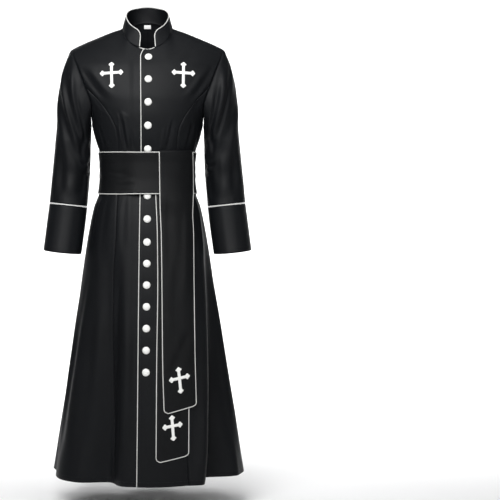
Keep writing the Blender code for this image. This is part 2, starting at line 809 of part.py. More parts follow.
def armhole_points(degrees, behind, side):
    """Points of the armhole's edge and the body form's outward direction there."""
    angle, height = armhole_domain(np.asarray(degrees, float), behind)
    points = body_base(angle * side, height)
    normals = body_normal(angle * side, height)
    at_tip = np.asarray(degrees, float) < 1.0
    normals[at_tip] = unit(np.array([RIDGE_SLOPE * side, 0.0, 1.0]))
    return points, normals


def armhole_mitre(degrees, behind, side):
    """Direction of the wall's thickness where the body and the sleeve meet."""
    degrees = np.asarray(degrees, float)
    points, normals = armhole_points(degrees, behind, side)
    step = 2.0
    ahead = armhole_points(np.clip(degrees + step, 0, 180), behind, side)[0]
    back = armhole_points(np.clip(degrees - step, 0, 180), behind, side)[0]
    along = unit(ahead - back)
    out = np.cross(sleeve_start(degrees, behind, side), along)
    out = unit(out) * (side if behind else -side)
    under_arm = np.clip(-np.cos(np.radians(degrees)), 0.0, 1.0) ** 6
    return unit(normals + out + under_arm[..., None] * np.array([0.0, 0.0, -0.8]))


def sleeve_ring(row, turns, side):
    """Points of one ring round the arm, from the outside forwards."""
    lean = np.array([math.cos(SLEEVE_LEAN), 0.0, math.sin(SLEEVE_LEAN)])
    pitch = CUFF_PITCH * fade((-0.40 - row.height) / 0.28)
    forward = np.array([0.0, -math.cos(pitch), math.sin(pitch)])
    centre = np.array([row.across, row.forward, row.height])
    points = (centre + row.half_width * np.cos(turns)[:, None] * lean
              + row.half_depth * np.sin(turns)[:, None] * forward)
    points[:, 0] *= side
    return points


def sleeve_degrees():
    """Angles from the shoulder tip of the armhole's points, in front and then behind."""
    front = np.concatenate([
        np.linspace(0, ARMHOLE_SPLIT, UPPER_ROWS + 1),
        ARMHOLE_SPLIT + (180 - ARMHOLE_SPLIT) * np.linspace(0, 1, SIDE_FRONT_COLUMNS + 1)[1:],
    ])
    behind = 180 * np.linspace(0, 1, BACK_ROWS)[::-1][1:-1]
    return front, behind


def hermite(start, end, start_slope, end_slope, t):
    """Point at t of the curve between two points with these slopes."""
    return ((1 + 2 * t) * (1 - t) ** 2 * start + t * t * (3 - 2 * t) * end
            + t * (1 - t) ** 2 * start_slope - t * t * (1 - t) * end_slope)


def sleeve_grid(side):
    """Outer points of a sleeve from the armhole to the cuff, and its first row's mitre."""
    front, behind = sleeve_degrees()
    first = np.concatenate([armhole_points(front, False, side)[0],
                            armhole_points(behind, True, side)[0]])
    leave = np.concatenate([sleeve_start(front, False, side), sleeve_start(behind, True, side)])
    mitre = np.concatenate([armhole_mitre(front, False, side), armhole_mitre(behind, True, side)])
    turns = np.radians(np.concatenate([front, 360 - behind]))
    ring = sleeve_ring(SLEEVE[0], turns, side)
    span = np.linalg.norm(ring - first, axis=1, keepdims=True)
    down = np.array([math.sin(SLEEVE_LEAN) * side, 0.0, -math.cos(SLEEVE_LEAN)])
    rows = []
    for t in np.linspace(0, 1, SLEEVE_HEAD_ROWS + 1)[:-1]:
        rows.append(hermite(first, ring, leave * span, down * span, t))
    rows[0] = rows[0] + leave * SEAM_GAP / 2
    rows += [sleeve_ring(row, turns, side) for row in SLEEVE]
    return np.array(rows), mitre


def make_sleeve(side, black):
    """A set-in sleeve, from the armhole to the cuff's seam."""
    points, mitre = sleeve_grid(side)
    offsets = grid_normals(points, closed=True) * WALL * facing_out(points)
    offsets[0] = mitre * WALL
    name = "sleeve_left" if side > 0 else "sleeve_right"
    return wall_object(name, points, points - offsets, black, closed=True)


def facing_out(points):
    """1 or -1, whichever turns the grid's directions away from its middle."""
    middle = points[-1].mean(axis=0)
    normals = grid_normals(points, closed=True)[-1]
    return 1.0 if np.sum((points[-1] - middle) * normals) > 0 else -1.0


def make_cuff(side, black):
    """The deep band at the end of a sleeve."""
    front, behind = sleeve_degrees()
    turns = np.radians(np.concatenate([front, 360 - behind]))
    points = np.array([sleeve_ring(row, turns, side) for row in CUFF])
    offsets = grid_normals(points, closed=True) * WALL * facing_out(points)
    name = "cuff_left" if side > 0 else "cuff_right"
    return wall_object(name, points, points - offsets, black, closed=True)


def make_cuff_piping(side, white):
    """The cord in the seam between a sleeve and its cuff."""
    front, behind = sleeve_degrees()
    turns = np.radians(np.concatenate([front, 360 - behind]))
    above = sleeve_ring(SLEEVE[-1], turns, side)
    below = sleeve_ring(CUFF[0], turns, side)
    path = (above + below) / 2
    name = "piping_cuff_left" if side > 0 else "piping_cuff_right"
    return tube_object(name, path, PIPING_RADIUS, white, closed=True)


# Collar

def collar_turns():
    """Turns round the neck of the collar's columns: signed, from one end to the other."""
    half = neck_turns(0.0)[NECK_EDGE_COLUMNS:]
    half = np.concatenate([half, math.pi - back_neck_turns()[::-1][1:]])
    return np.concatenate([half, -half[::-1][1:]])


def neck_point(turn, with_normal=False):
    """Point of the neckline at a turn from the front."""
    side = math.copysign(1.0, turn)
    from_front = abs(turn)
    behind = from_front > math.pi / 2
    own_turn = math.pi - from_front if behind else from_front
    angle = neck_angle(own_turn, behind) * side
    height = neck_height(own_turn, behind)
    point = body_base(angle, height)
    if not with_normal:
        return point
    if abs(from_front - math.pi / 2) < 0.02:
        return point, unit(np.array([RIDGE_SLOPE * side, 0.0, 1.0]))
    return point, body_normal(angle, height)


def collar_top_point(turn):
    """Point of the collar's top edge at a turn from the front."""
    depth = COLLAR_TOP_FRONT if abs(turn) < math.pi / 2 else COLLAR_TOP_BACK
    height = float(collar_top_at(math.degrees(abs(turn))))
    return np.array([COLLAR_TOP_HALF_WIDTH * math.sin(turn), -depth * math.cos(turn), height])


def neck_mitre(turn):
    """Direction of the wall's thickness where the body and the collar meet."""
    base, normal = neck_point(turn, with_normal=True)
    step = 0.05
    along = unit(neck_point(turn + step) - neck_point(turn - step))
    out = unit(np.cross(along, collar_top_point(turn) - base))
    if np.dot(out, base * np.array([1.0, 1.0, 0.0])) < 0:
        out = -out
    return unit(normal + out)


def collar_grid():
    """Outer points of the collar from its top edge down to the neckline."""
    columns = []
    mitres = []
    for turn in collar_turns():
        base = neck_point(turn)
        top = collar_top_point(turn)
        from_end = math.degrees(abs(turn)) - COLLAR_END
        round_share = math.sqrt(1 - (1 - min(from_end / COLLAR_CORNER, 1.0)) ** 2)
        top = base + (top - base) * (COLLAR_END_SHARE + (1 - COLLAR_END_SHARE) * round_share)
        foot = base + unit(top - base) * SEAM_GAP
        columns.append([top + (foot - top) * k / COLLAR_ROWS for k in range(COLLAR_ROWS + 1)])
        mitres.append(neck_mitre(turn))
    return np.array(columns).transpose(1, 0, 2), np.array(mitres)


def collar_normals(points):
    """Outward directions of the collar."""
    normals = grid_normals(points)
    outward = points[0] * np.array([1.0, 1.0, 0.0])
    return normals if np.sum(normals[0] * outward) > 0 else -normals


def make_collar(black):
    """The standing collar, open in front."""
    points, mitres = collar_grid()
    offsets = collar_normals(points) * WALL
    offsets[-1] = mitres * WALL
    return wall_object("collar", points, points - offsets, black)


def border_path(grid, rows, columns):
    """Walk along rows of a grid's first column, across its top and down its last."""
    return np.concatenate([grid[rows, 0][::-1], grid[0, columns], grid[rows, -1]])


def make_collar_piping(white):
    """The cord round the collar's two ends and top edge."""
    points, _ = collar_grid()
    normals = collar_normals(points)
    rows, columns = slice(0, COLLAR_ROWS), slice(1, -1)
    edge, out = border_path(points, rows, columns), border_path(normals, rows, columns)
    middle = points.shape[1] // 2
    path = edge_cord_path(edge, out, WALL / 2, points[1, middle])
    return tube_object("piping_collar", path, PIPING_RADIUS, white)


def make_front_piping(points, normals, white):
    """The cord along the neckline's end and down the front edge that laps over."""
    first = NECK_EDGE_COLUMNS
    edge = np.concatenate([points[0, 1:first][::-1], points[:, 0]])
    out = np.concatenate([normals[0, 1:first][::-1], normals[:, 0]])
    path = edge_cord_path(edge, out, FRONT_CORD_SINK, points[len(points) // 2, 1])
    return tube_object("piping_front", path, PIPING_RADIUS, white)


def make_neck_piping(points, normals, white):
    """The short cord on the neckline of the front that lies under."""
    last = NECK_EDGE_COLUMNS
    shares = np.linspace(NECK_CORD_START, NECK_CORD_END, 3)[:, None]
    edge = points[0, last] + (points[0, last - 1] - points[0, last]) * shares
    out = np.repeat(normals[0, last][None], len(shares), axis=0)
    path = edge_cord_path(edge, out, WALL / 2, points[1, last])
    return tube_object("piping_neck", path, PIPING_RADIUS, white)


# Sash

def band_stand_off(angle):
    """How far the band's inner face stands off the body."""
    degrees = np.degrees(angle)
    rise = fade((degrees - BAND_RISE_START) / BAND_RISE)
    fall = fade((degrees - BAND_FALL_START) / BAND_FALL)
    return BAND_STAND_OFF + (BAND_FRONT_STAND_OFF - BAND_STAND_OFF) * rise * (1 - fall)


def band_dip(angle):
    """How much lower the band lies than at the sides."""
    return BAND_FRONT_DIP * np.clip(np.cos(angle), 0.0, 1.0)


def band_grid():
    """Outer points of the band, from its top edge down."""
    angles = np.linspace(-math.pi, math.pi, BAND_COLUMNS + 1)[None, :-1]
    share = np.linspace(0, 1, BAND_ROWS + 1)[:, None]
    heights = BAND_TOP + (BAND_BOTTOM - BAND_TOP) * share - band_dip(angles)
    lift = band_stand_off(angles) + SASH_WALL + 0 * share
    return body_point(angles + 0 * share, heights, lift)


def make_band(black):
    """The wide band round the waist."""
    points = band_grid()
    normals = grid_normals(points, closed=True) * facing_out(points)
    return wall_object("sash_band", points, points - normals * SASH_WALL, black, closed=True)


def make_band_piping(white, top):
    """The cord along one edge of the band."""
    points = band_grid()
    normals = grid_normals(points, closed=True) * facing_out(points)
    row = 0 if top else -1
    up = np.array([0, 0, PIPING_SEAT if top else -PIPING_SEAT])
    path = points[row] - normals[row] * SASH_WALL / 2 + up
    name = "piping_band_top" if top else "piping_band_bottom"
    return tube_object(name, path, PIPING_RADIUS, white, closed=True)


def tail_edges(table):
    """Curves of a tail's two long edges."""
    return column_curve(table, "height", "inner"), column_curve(table, "height", "outer")


def tail_rows(first, corners):
    """Row heights of a tail at its inner and outer edge, from its top to its end."""
    end = max(corners)
    levels = [z for z in ROW_HEIGHTS if end + 0.030 < z < first - 0.004]
    inner = [first] + levels + [corners[0] + TAIL_CORNER_RADIUS]
    outer = [first] + levels + [corners[1] + TAIL_CORNER_RADIUS]
    return np.array(inner), np.array(outer)


def tail_grid(table, first, corners, lift_at):
    """Outer points of a tail where it hangs down, inside the cord along its edges."""
    margin = PIPING_SEAT
    inner_at, outer_at = tail_edges(table)
    inner_rows, outer_rows = tail_rows(first, corners)
    share = np.linspace(0, 1, TAIL_COLUMNS + 1)
    rows = []
    for inner_height, outer_height in zip(inner_rows, outer_rows):
        heights = inner_height + (outer_height - inner_height) * share
        left, right = inner_at(heights) + margin, outer_at(heights) - margin
        across = left + (right - left) * share
        rows.append(tail_points(across, heights, lift_at))
    round_in = TAIL_CORNER_RADIUS * 0.32
    for drop, narrow in ((0.70, round_in * 0.85), (1.0, round_in * 2.4)):
        heights = (inner_rows[-1] + (outer_rows[-1] - inner_rows[-1]) * share
                   - (TAIL_CORNER_RADIUS - margin) * drop)
        left, right = inner_at(heights) + margin + narrow, outer_at(heights) - margin - narrow
        rows.append(tail_points(left + (right - left) * share, heights, lift_at))
    return np.array(rows)


def tail_points(across, heights, lift_at):
    """Points over the skirt at these distances from the middle."""
    angles = angle_under_flutes(across, heights)
    return body_point(angles, heights, lift_at(heights))


def under_lift(heights):
    """Height of the under tail's outer face over the skirt."""
    return np.full_like(heights, UNDER_TAIL_OFFSET)


def upper_lift(heights):
    """Height of the upper tail's outer face over the body: it comes in below the band."""
    drop = fade((BAND_BOTTOM - BAND_FRONT_DIP - 0.004 - heights) / 0.075)
    return OVER_BAND_OFFSET + (UPPER_TAIL_OFFSET - OVER_BAND_OFFSET) * drop


def fold_rows():
    """The upper tail's fold: its height over the band's top edge and its lift off the body."""
    centre = (OVER_BAND_OFFSET + BEHIND_BAND_OFFSET) / 2
    radius = (OVER_BAND_OFFSET - BEHIND_BAND_OFFSET) / 2
    rows = [(FOLD_RISE - TUCK_LENGTH, BEHIND_BAND_OFFSET)]
    for turn in np.linspace(0, math.pi, 7):
        rows.append((FOLD_RISE + radius * math.sin(turn), centre - radius * math.cos(turn)))
    return rows


def upper_tail_grid():
    """Outer points of the upper tail: behind the band, over its edge and down the front."""
    inner_at, outer_at = tail_edges(UPPER_TAIL)
    left, right = inner_at(BAND_TOP) + PIPING_SEAT, outer_at(BAND_TOP) - PIPING_SEAT
    across = left + (right - left) * np.linspace(0, 1, TAIL_COLUMNS + 1)
    edge = BAND_TOP - band_dip(angle_at(across, BAND_TOP))
    fold = []
    for rise, lift in fold_rows():
        heights = edge + rise
        fold.append(body_point(angle_at(across, heights), heights, np.full_like(across, lift)))
    hang = tail_grid(UPPER_TAIL, UPPER_TAIL_START, UPPER_TAIL_CORNERS, upper_lift)
    return np.concatenate([np.array(fold), hang])


def tail_normals(points):
    """Outward directions of a tail."""
    normals = grid_normals(points)
    return -normals if normals[-1, 0, 1] > 0 else normals


def tail_wall(name, points, black):
    """A tail's wall from its outer points."""
    return wall_object(name, points, points - tail_normals(points) * SASH_WALL, black)


def tail_piping_path(points, first_row):
    """The cord's path down one long edge, round the end and up the other edge."""
    normals = tail_normals(points)
    rows, columns = slice(first_row, -1), slice(None)
    edge = np.concatenate([points[rows, 0], points[-1, columns], points[rows, -1][::-1]])
    out = np.concatenate([normals[rows, 0], normals[-1, columns], normals[rows, -1][::-1]])
    return edge_cord_path(edge, out, SASH_WALL / 2, points[-2, TAIL_COLUMNS // 2])


def make_upper_tail(black, white):
    """The tail that folds over the band and hangs down in front, with its cord."""
    points = upper_tail_grid()
    hang_start = len(fold_rows()) - 1
    made = tail_wall("tail_upper", points, black)
    cord = tube_object("piping_tail_upper", tail_piping_path(points, hang_start), PIPING_RADIUS, white)
    return made, cord


def make_under_tail(black, white):
    """The tail that comes out below the band, with its cord."""
    points = tail_grid(UNDER_TAIL, UNDER_TAIL_TOP, UNDER_TAIL_CORNERS, under_lift)
    made = tail_wall("tail_under", points, black)
    cord = tube_object("piping_tail_under", tail_piping_path(points, 1), PIPING_RADIUS, white)
    return made, cord


# Buttons, crosses and label

def button_heights():
    """Heights of the buttons, from the neck down."""
    runs = (BODICE_BUTTONS, SKIRT_BUTTONS)
    return [run.first - run.pitch * k for run in runs for k in range(run.count)]


def button_across(height):
    """Distance of a button from the middle."""
    share = (height - BODICE_BUTTONS.first) / (-1.03 - BODICE_BUTTONS.first)
    return BUTTON_TOP_ACROSS + (BUTTON_BOTTOM_ACROSS - BUTTON_TOP_ACROSS) * share


def button_profile():
    """Radius and height of a covered button's rings, from its foot up."""
    rings = [
        (BUTTON_RADIUS * BUTTON_FOOT_SHARE, 0.0),
        (BUTTON_RADIUS, BUTTON_RIM * 0.45),
        (BUTTON_RADIUS, BUTTON_RIM),
    ]
    dome = BUTTON_HEIGHT - BUTTON_RIM
    for turn in BUTTON_DOME_TURNS:
        rings.append((BUTTON_RADIUS * math.cos(turn), BUTTON_RIM + dome * math.sin(turn)))
    return rings


def make_button(number, height, white):
    """One domed button, seated on the front edge that laps over."""
    angle = float(angle_under_flutes(button_across(height), height))
    normal = body_normal(angle, height)
    seat = body_base(angle, height) + normal * SEAT_GAP
    across = unit(np.cross(normal, (0.0, 0.0, 1.0)))
    up = np.cross(across, normal)
    vertices = []
    for radius, rise in button_profile():
        for k in range(BUTTON_SIDES):
            turn = 2 * math.pi * k / BUTTON_SIDES
            vertices.append(seat + normal * rise
                            + radius * (math.cos(turn) * across + math.sin(turn) * up))
    rings = len(button_profile())
    faces = grid_faces(rings, BUTTON_SIDES, 0, True, False)
    faces.append(list(range(BUTTON_SIDES))[::-1])
    vertices.append(seat + normal * BUTTON_HEIGHT)
    last = (rings - 1) * BUTTON_SIDES
    for k in range(BUTTON_SIDES):
        faces.append([last + k, last + (k + 1) % BUTTON_SIDES, rings * BUTTON_SIDES])
    return new_object(f"button_{number:02d}", vertices, faces, white)


def cross_arm(length, turn):
    """Corner pairs of one arm, from the crossing out to its pointed, flared end."""
    stations = [(CROSS_BAR / 2, CROSS_BAR / 2)]
    reach = length - CROSS_FLARE_START
    steps = max(1, round((reach - CROSS_BAR / 2) / CROSS_STEP))
    for k in range(1, steps + 1):
        stations.append((CROSS_BAR / 2 + (reach - CROSS_BAR / 2) * k / steps, CROSS_BAR / 2))
    stations.append((length - CROSS_FLARE_END, CROSS_FLARE / 2))
    stations.append((length, CROSS_TIP_HALF_WIDTH))
    cosine, sine = math.cos(turn), math.sin(turn)
    pairs = []
    for along, half in stations:
        pair = [(cosine * along - sine * w, sine * along + cosine * w) for w in (-half, half)]
        pairs.append(pair)
    return pairs


def cross_outline(place):
    """Flat points and faces of a cross, measured from its crossing."""
    upper = place.tall * CROSS_UPPER_SHARE
    lower = place.tall - upper
    lengths = (place.width / 2, upper, place.width / 2, lower)
    points, faces = [], []
    crossing = []
    for quarter, length in enumerate(lengths):
        pairs = cross_arm(length, quarter * math.pi / 2)
        start = len(points)
        for pair in pairs:
            points.extend(pair)
        crossing.append(start)
        for k in range(len(pairs) - 1):
            a = start + 2 * k
            faces.append([a, a + 2, a + 3, a + 1])
    faces.append(crossing)
    return points, faces


def merge_outline(points, faces):
    """Join points that share a place, so that the arms grow out of the crossing."""
    kept, index = [], []
    for point in points:
        for k, other in enumerate(kept):
            if math.dist(point, other) < 1e-6:
                index.append(k)
                break
        else:
            index.append(len(kept))
            kept.append(point)
    return kept, [[index[i] for i in face] for face in faces]


def make_cross(place, lift_at, white):
    """A thick cross laid on the cloth, a little proud of it."""
    points, faces = merge_outline(*cross_outline(place))
    cosine, sine = math.cos(place.tilt), math.sin(place.tilt)
    across, heights = [], []
    for u, v in points:
        across.append(place.across + u * cosine - v * sine * CROSS_LEAN)
        heights.append(place.height + u * sine + v * cosine)
    across, heights = np.array(across), np.array(heights)
    angles = angle_under_flutes(across, heights)
    low = body_point(angles, heights, lift_at(heights) + SEAT_GAP)
    high = body_point(angles, heights, lift_at(heights) + SEAT_GAP + CROSS_THICKNESS)
    count = len(points)
    solid = [list(face) for face in faces] + [[i + count for i in face[::-1]] for face in faces]
    edges = {}
    for face in faces:
        for a, b in zip(face, face[1:] + face[:1]):
            edges[(a, b)] = (b, a) in edges or edges.get((a, b), False)
            if (b, a) in edges:
                edges[(b, a)] = True
    for (a, b), shared in edges.items():
        if not shared:
            solid.append([b, a, a + count, b + count])
    return new_object(place.name, np.concatenate([high, low]), solid, white, smooth=False)


def make_label(white):
    """The blank label inside the back, just under the collar's seam."""
    across = np.linspace(LABEL_HALF_WIDTH, -LABEL_HALF_WIDTH, 3)[None, :]
    heights = np.linspace(LABEL_TOP, LABEL_BOTTOM, 3)[:, None] + 0 * across
    angles = angle_at(across, heights, behind=True)
    outer = body_point(angles, heights, -WALL - LABEL_SEAT)
    inner = body_point(angles, heights, -WALL - LABEL_SEAT - LABEL_THICKNESS)
    return wall_object("label", outer, inner, white)


# Materials

def principled(name, colour, roughness, sheen=0.0):
    """A plain finish."""
    material = bpy.data.materials.new(name)
    material.use_nodes = True
    shader = material.node_tree.nodes["Principled BSDF"]
    shader.inputs["Base Color"].default_value = colour
    shader.inputs["Roughness"].default_value = roughness
    shader.inputs["Metallic"].default_value = 0.0
    shader.inputs["Sheen Weight"].default_value = sheen
    material.diffuse_color = colour
    return material


def main():
    """Build every piece of the robe and its sash."""
    for old in list(bpy.data.objects):
        bpy.data.objects.remove(old)
    black = principled("black_cloth", BLACK, 0.55, sheen=0.2)
    sash_black = principled("sash_cloth", BLACK, 0.45, sheen=0.2)
    white = principled("white_piping", WHITE, 0.60)
    button_white = principled("white_button", WHITE, 0.25)
    applique = principled("white_applique", WHITE, 0.75)
    front_points, front_normals = make_front(1, black)
    make_front_piping(front_points, front_normals, white)
    under_points, under_normals = make_front(-1, black)
    make_neck_piping(under_points, under_normals, white)
    for side in (1, -1):
        make_side_front(side, black)
        make_back(side, black)
        make_sleeve(side, black)
        make_cuff(side, black)
        make_cuff_piping(side, white)
    make_collar(black)
    make_collar_piping(white)
    make_band(sash_black)
    make_band_piping(white, top=True)
    make_band_piping(white, top=False)
    make_upper_tail(sash_black, white)
    make_under_tail(sash_black, white)
    for number, height in enumerate(button_heights(), start=1):
        make_button(number, height, button_white)
    for place in CHEST_CROSSES:
        make_cross(place, lambda heights: np.zeros_like(heights), applique)
    for place, lift_at in zip(TAIL_CROSSES, (upper_lift, under_lift)):
        make_cross(place, lift_at, applique)
    make_label(applique)


main()
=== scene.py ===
"""Look of a long black clergy robe with its band sash, worn and filled out.

The cloth is cut from the same form as the solid part: an angle round the body and
a height give a point, and panels are stretches of that form between its seams. The
finer creases are laid over it. Metres, +Z up; the robe faces -Y and +X is
the wearer's left.
"""

import logging
import math
from dataclasses import dataclass
from enum import Enum
from typing import Callable, NamedTuple, Sequence

import bmesh
import bpy
import numpy as np
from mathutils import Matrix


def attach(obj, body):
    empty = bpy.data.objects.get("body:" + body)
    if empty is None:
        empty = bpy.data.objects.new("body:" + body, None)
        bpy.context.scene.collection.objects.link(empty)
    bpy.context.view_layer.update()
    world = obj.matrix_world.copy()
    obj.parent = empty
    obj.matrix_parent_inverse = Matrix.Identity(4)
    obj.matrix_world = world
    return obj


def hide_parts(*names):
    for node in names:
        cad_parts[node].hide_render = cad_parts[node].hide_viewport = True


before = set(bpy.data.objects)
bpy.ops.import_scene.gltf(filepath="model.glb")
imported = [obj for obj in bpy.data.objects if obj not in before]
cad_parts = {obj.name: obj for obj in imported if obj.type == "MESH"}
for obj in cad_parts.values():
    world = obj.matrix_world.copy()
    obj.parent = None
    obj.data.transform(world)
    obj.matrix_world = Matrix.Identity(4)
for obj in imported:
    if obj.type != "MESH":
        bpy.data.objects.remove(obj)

log = logging.getLogger("robe")
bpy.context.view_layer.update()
Array = np.ndarray
MM = 0.001

# Cloth
CLOTH = 1.1 * MM
DOUBLE_CLOTH = 2.2 * MM
SEAM_SINK = 1.3 * MM
SEAM_HALF_WIDTH = 2.6 * MM
PUCKER = 0.35 * MM
PUCKER_REACH = 9.0 * MM
CORD_RADIUS = 1.3 * MM
CORD_SEAT = 1.9 * MM
CORD_SIDES = 12
PUCKER_START = 5.0 * MM
HEM_STITCH_LIFT = 0.1 * MM
STITCH_LIFT = 0.15 * MM

# Finishes: the height of the grain, the twill's turn and the sheen's unevenness
GRAIN_HEIGHT = 0.1 * MM
TWILL_TURN = math.radians(62)
UNEVEN_SHINE = 0.05

# The robe's two sides, and what keeps the level part of a direction
SIDES = ((1, "left"), (-1, "right"))
LEVEL = np.array([1.0, 1.0, 0.0])


def rows_of(kind: type, *rows: Sequence) -> tuple:
    """Return a table's rows, each as one of a kind."""
    return tuple(kind(*row) for row in rows)


class BodyRow(NamedTuple):
    """Half width and depths of the body form at a height."""

    height: float
    half_width: float
    front_depth: float
    back_depth: float


BODY = rows_of(
    BodyRow,
    (-1.342, 0.287, 0.246, 0.256), (-1.205, 0.266, 0.224, 0.234), (-1.013, 0.236, 0.196, 0.204),
    (-0.891, 0.218, 0.178, 0.185), (-0.769, 0.201, 0.160, 0.166), (-0.653, 0.184, 0.142, 0.147),
    (-0.586, 0.172, 0.131, 0.132), (-0.543, 0.162, 0.122, 0.119), (-0.505, 0.148, 0.114, 0.107),
    (-0.460, 0.143, 0.109, 0.097), (-0.420, 0.143, 0.108, 0.093), (-0.378, 0.147, 0.112, 0.095),
    (-0.343, 0.158, 0.118, 0.101), (-0.308, 0.167, 0.122, 0.106), (-0.296, 0.170, 0.123, 0.107),
    (-0.270, 0.181, 0.124, 0.110), (-0.232, 0.200, 0.123, 0.113), (-0.183, 0.230, 0.114, 0.114),
    (-0.131, 0.262, 0.099, 0.107), (-0.080, 0.290, 0.075, 0.095), (-0.040, 0.300, 0.051, 0.082),
    (0.000, 0.300, 0.028, 0.069), (0.030, 0.300, 0.022, 0.056),
)
ROUNDNESS = 2.2


class RidgeRow(NamedTuple):
    """Height of the shoulders' top at a distance from the middle."""

    across: float
    height: float


RIDGE = rows_of(
    RidgeRow,
    (0.000, 0.120), (0.040, 0.095), (0.060, 0.055), (0.072, 0.018), (0.077, 0.000),
    (0.110, -0.012), (0.157, -0.031), (0.212, -0.055), (0.231, -0.066),
)
RIDGE_ROUNDING = 0.120
RIDGE_START = 0.015

NECK_HALF_WIDTH = 0.077
NECK_FRONT_DROP = 0.072
NECK_BACK_RISE = 0.024
NECK_VEE = 0.0045


class ArmholeRow(NamedTuple):
    """Angles of the armhole at an angle down its loop, from the front and from the back."""

    degrees: float
    front: float
    back: float


ARMHOLE = rows_of(
    ArmholeRow,
    (0, 49.5, 49.5), (30, 49.6, 50.1), (60, 50.2, 52.4), (90, 52.4, 57.5), (120, 56.5, 63.5),
    (150, 70.5, 75.5), (180, 90.0, 90.0),
)
ARMHOLE_TOP = -0.066
ARMHOLE_BOTTOM = -0.296
ARMHOLE_SPLIT = 95.0


class SeamRow(NamedTuple):
    """Distance of a seam or an edge from the middle at a height."""

    height: float
    across: float


PRINCESS = rows_of(
    SeamRow,
    (-1.342, 0.117), (-1.013, 0.113), (-0.769, 0.107), (-0.630, 0.095), (-0.514, 0.0895),
    (-0.440, 0.086), (-0.378, 0.087), (-0.326, 0.092), (-0.288, 0.107), (-0.249, 0.133),
)
LAP_EDGE = rows_of(
    SeamRow,
    (-1.357, 0.0300), (-0.765, 0.0255), (-0.510, 0.0220), (-0.380, 0.0190), (-0.098, 0.0205),
    (-0.072, 0.0110),
)
UNDERLAP = 0.022
LAP_DEPTH = 0.0026
LAP_FLAT = 0.037
LAP_FADE = 0.022


class FluteRow(NamedTuple):
    """A skirt flute: its angles at waist and hem, its spread, depth and start."""

    waist_angle: float
    hem_angle: float
    half_angle: float
    depth: float
    start: float


FLUTES = rows_of(
    FluteRow,
    (-35, -28, 15, -0.050, -0.56), (-70, -54, 20, 0.014, -0.70), (-85, -80, 14, -0.012, -0.75),
    (0, 2, 26, 0.010, -0.70), (60, 31, 9, 0.010, -0.60), (82, 50, 19, -0.078, -0.50),
    (88, 82, 13, 0.006, -0.80), (112, 110, 17, -0.040, -0.58), (138, 136, 15, 0.014, -0.62),
    (160, 161, 14, -0.045, -0.55), (180, 182, 14, 0.012, -0.60), (204, 206, 15, -0.048, -0.56),
    (226, 228, 15, 0.012, -0.62), (250, 249, 17, -0.042, -0.60),
)
FLUTE_GROWTH = 1.25
HEM_HEIGHT = -1.343
HEM_FRONT_DIP = 0.013
CHEST = -0.308


class SleeveRow(NamedTuple):
    """Middle and half sizes of a ring round the arm."""

    across: float
    forward: float
    height: float
    half_width: float
    half_depth: float


SLEEVE = rows_of(
    SleeveRow,
    (0.2268, 0.000, -0.348, 0.0545, 0.0660), (0.2290, 0.003, -0.390, 0.0560, 0.0655),
    (0.2322, 0.003, -0.438, 0.0572, 0.0645), (0.2362, -0.003, -0.488, 0.0578, 0.0635),
    (0.2402, -0.012, -0.538, 0.0578, 0.0625),
)
CUFF = rows_of(
    SleeveRow,
    (0.2405, -0.0127, -0.5416, 0.0580, 0.0628), (0.2455, -0.022, -0.588, 0.0580, 0.0625),
    (0.2510, -0.034, -0.636, 0.0577, 0.0620), (0.2565, -0.047, -0.683, 0.0573, 0.0615),
)
SLEEVE_LEAN = math.radians(6.0)
CUFF_PITCH = math.radians(-3.0)


class CollarRow(NamedTuple):
    """Height of the collar's top edge at an angle from the front."""

    degrees: float
    height: float


COLLAR_TOP = rows_of(
    CollarRow, (18, -0.021), (50, 0.001), (90, 0.036), (135, 0.062), (180, 0.072), (225, 0.062)
)
COLLAR_END = 19.7
COLLAR_TOP_HALF_WIDTH = 0.0665
COLLAR_TOP_FRONT = 0.061
COLLAR_TOP_BACK = 0.051
COLLAR_CORNER = 12.0
COLLAR_END_SHARE = 0.72

BAND_TOP = -0.3810
BAND_BOTTOM = -0.5034
BAND_FRONT_DIP = 0.0070
BAND_STAND_OFF = 0.0016
BAND_FRONT_STAND_OFF = 0.0092
# Degrees from the front where the band starts to stand off and to lie on, and over how many
BAND_RISE_START = -34
BAND_RISE = 24
BAND_FALL_START = 61
BAND_FALL = 22


class TailRow(NamedTuple):
    """Distance of a tail's two long edges from the middle at a height."""

    height: float
    inner: float
    outer: float


UPPER_TAIL = rows_of(
    TailRow,
    (-1.140, 0.0465, 0.1405), (-1.000, 0.0428, 0.1365), (-0.800, 0.0415, 0.1345),
    (-0.640, 0.0398, 0.1338), (-0.510, 0.0345, 0.1270), (-0.380, 0.0330, 0.1250),
)
UNDER_TAIL = rows_of(
    TailRow,
    (-1.280, 0.0243, 0.1180), (-1.000, 0.0265, 0.1205), (-0.765, 0.0300, 0.1240),
    (-0.640, 0.0290, 0.1230), (-0.480, 0.0225, 0.1160),
)
UPPER_TAIL_CORNERS = (-1.1495, -1.1320)
UNDER_TAIL_CORNERS = (-1.2860, -1.2720)
UNDER_TAIL_TOP = -0.478
UPPER_TAIL_START = -0.408
TAIL_CORNER_RADIUS = 0.012
UNDER_TAIL_OFFSET = 0.0034
UPPER_TAIL_OFFSET = 0.0072
OVER_BAND_OFFSET = 0.0156
TAIL_DROP_START = 0.004
TAIL_DROP = 0.075
BEHIND_BAND_OFFSET = 0.0026
FOLD_RISE = 0.0010
TUCK_LENGTH = 0.030


class ButtonRun(NamedTuple):
    """A run of buttons: the first one's height, their pitch and their number."""

    first: float
    pitch: float
    count: int


BUTTON_RUNS = (ButtonRun(-0.1005, 0.0693, 8), ButtonRun(-0.6540, 0.0630, 7))
BUTTON_RADIUS = 11.1 * MM
BUTTON_HEIGHT = 7.0 * MM
BUTTON_TOP_ACROSS = 0.003
BUTTON_BOTTOM_ACROSS = -0.0045
LAST_BUTTON = -1.03


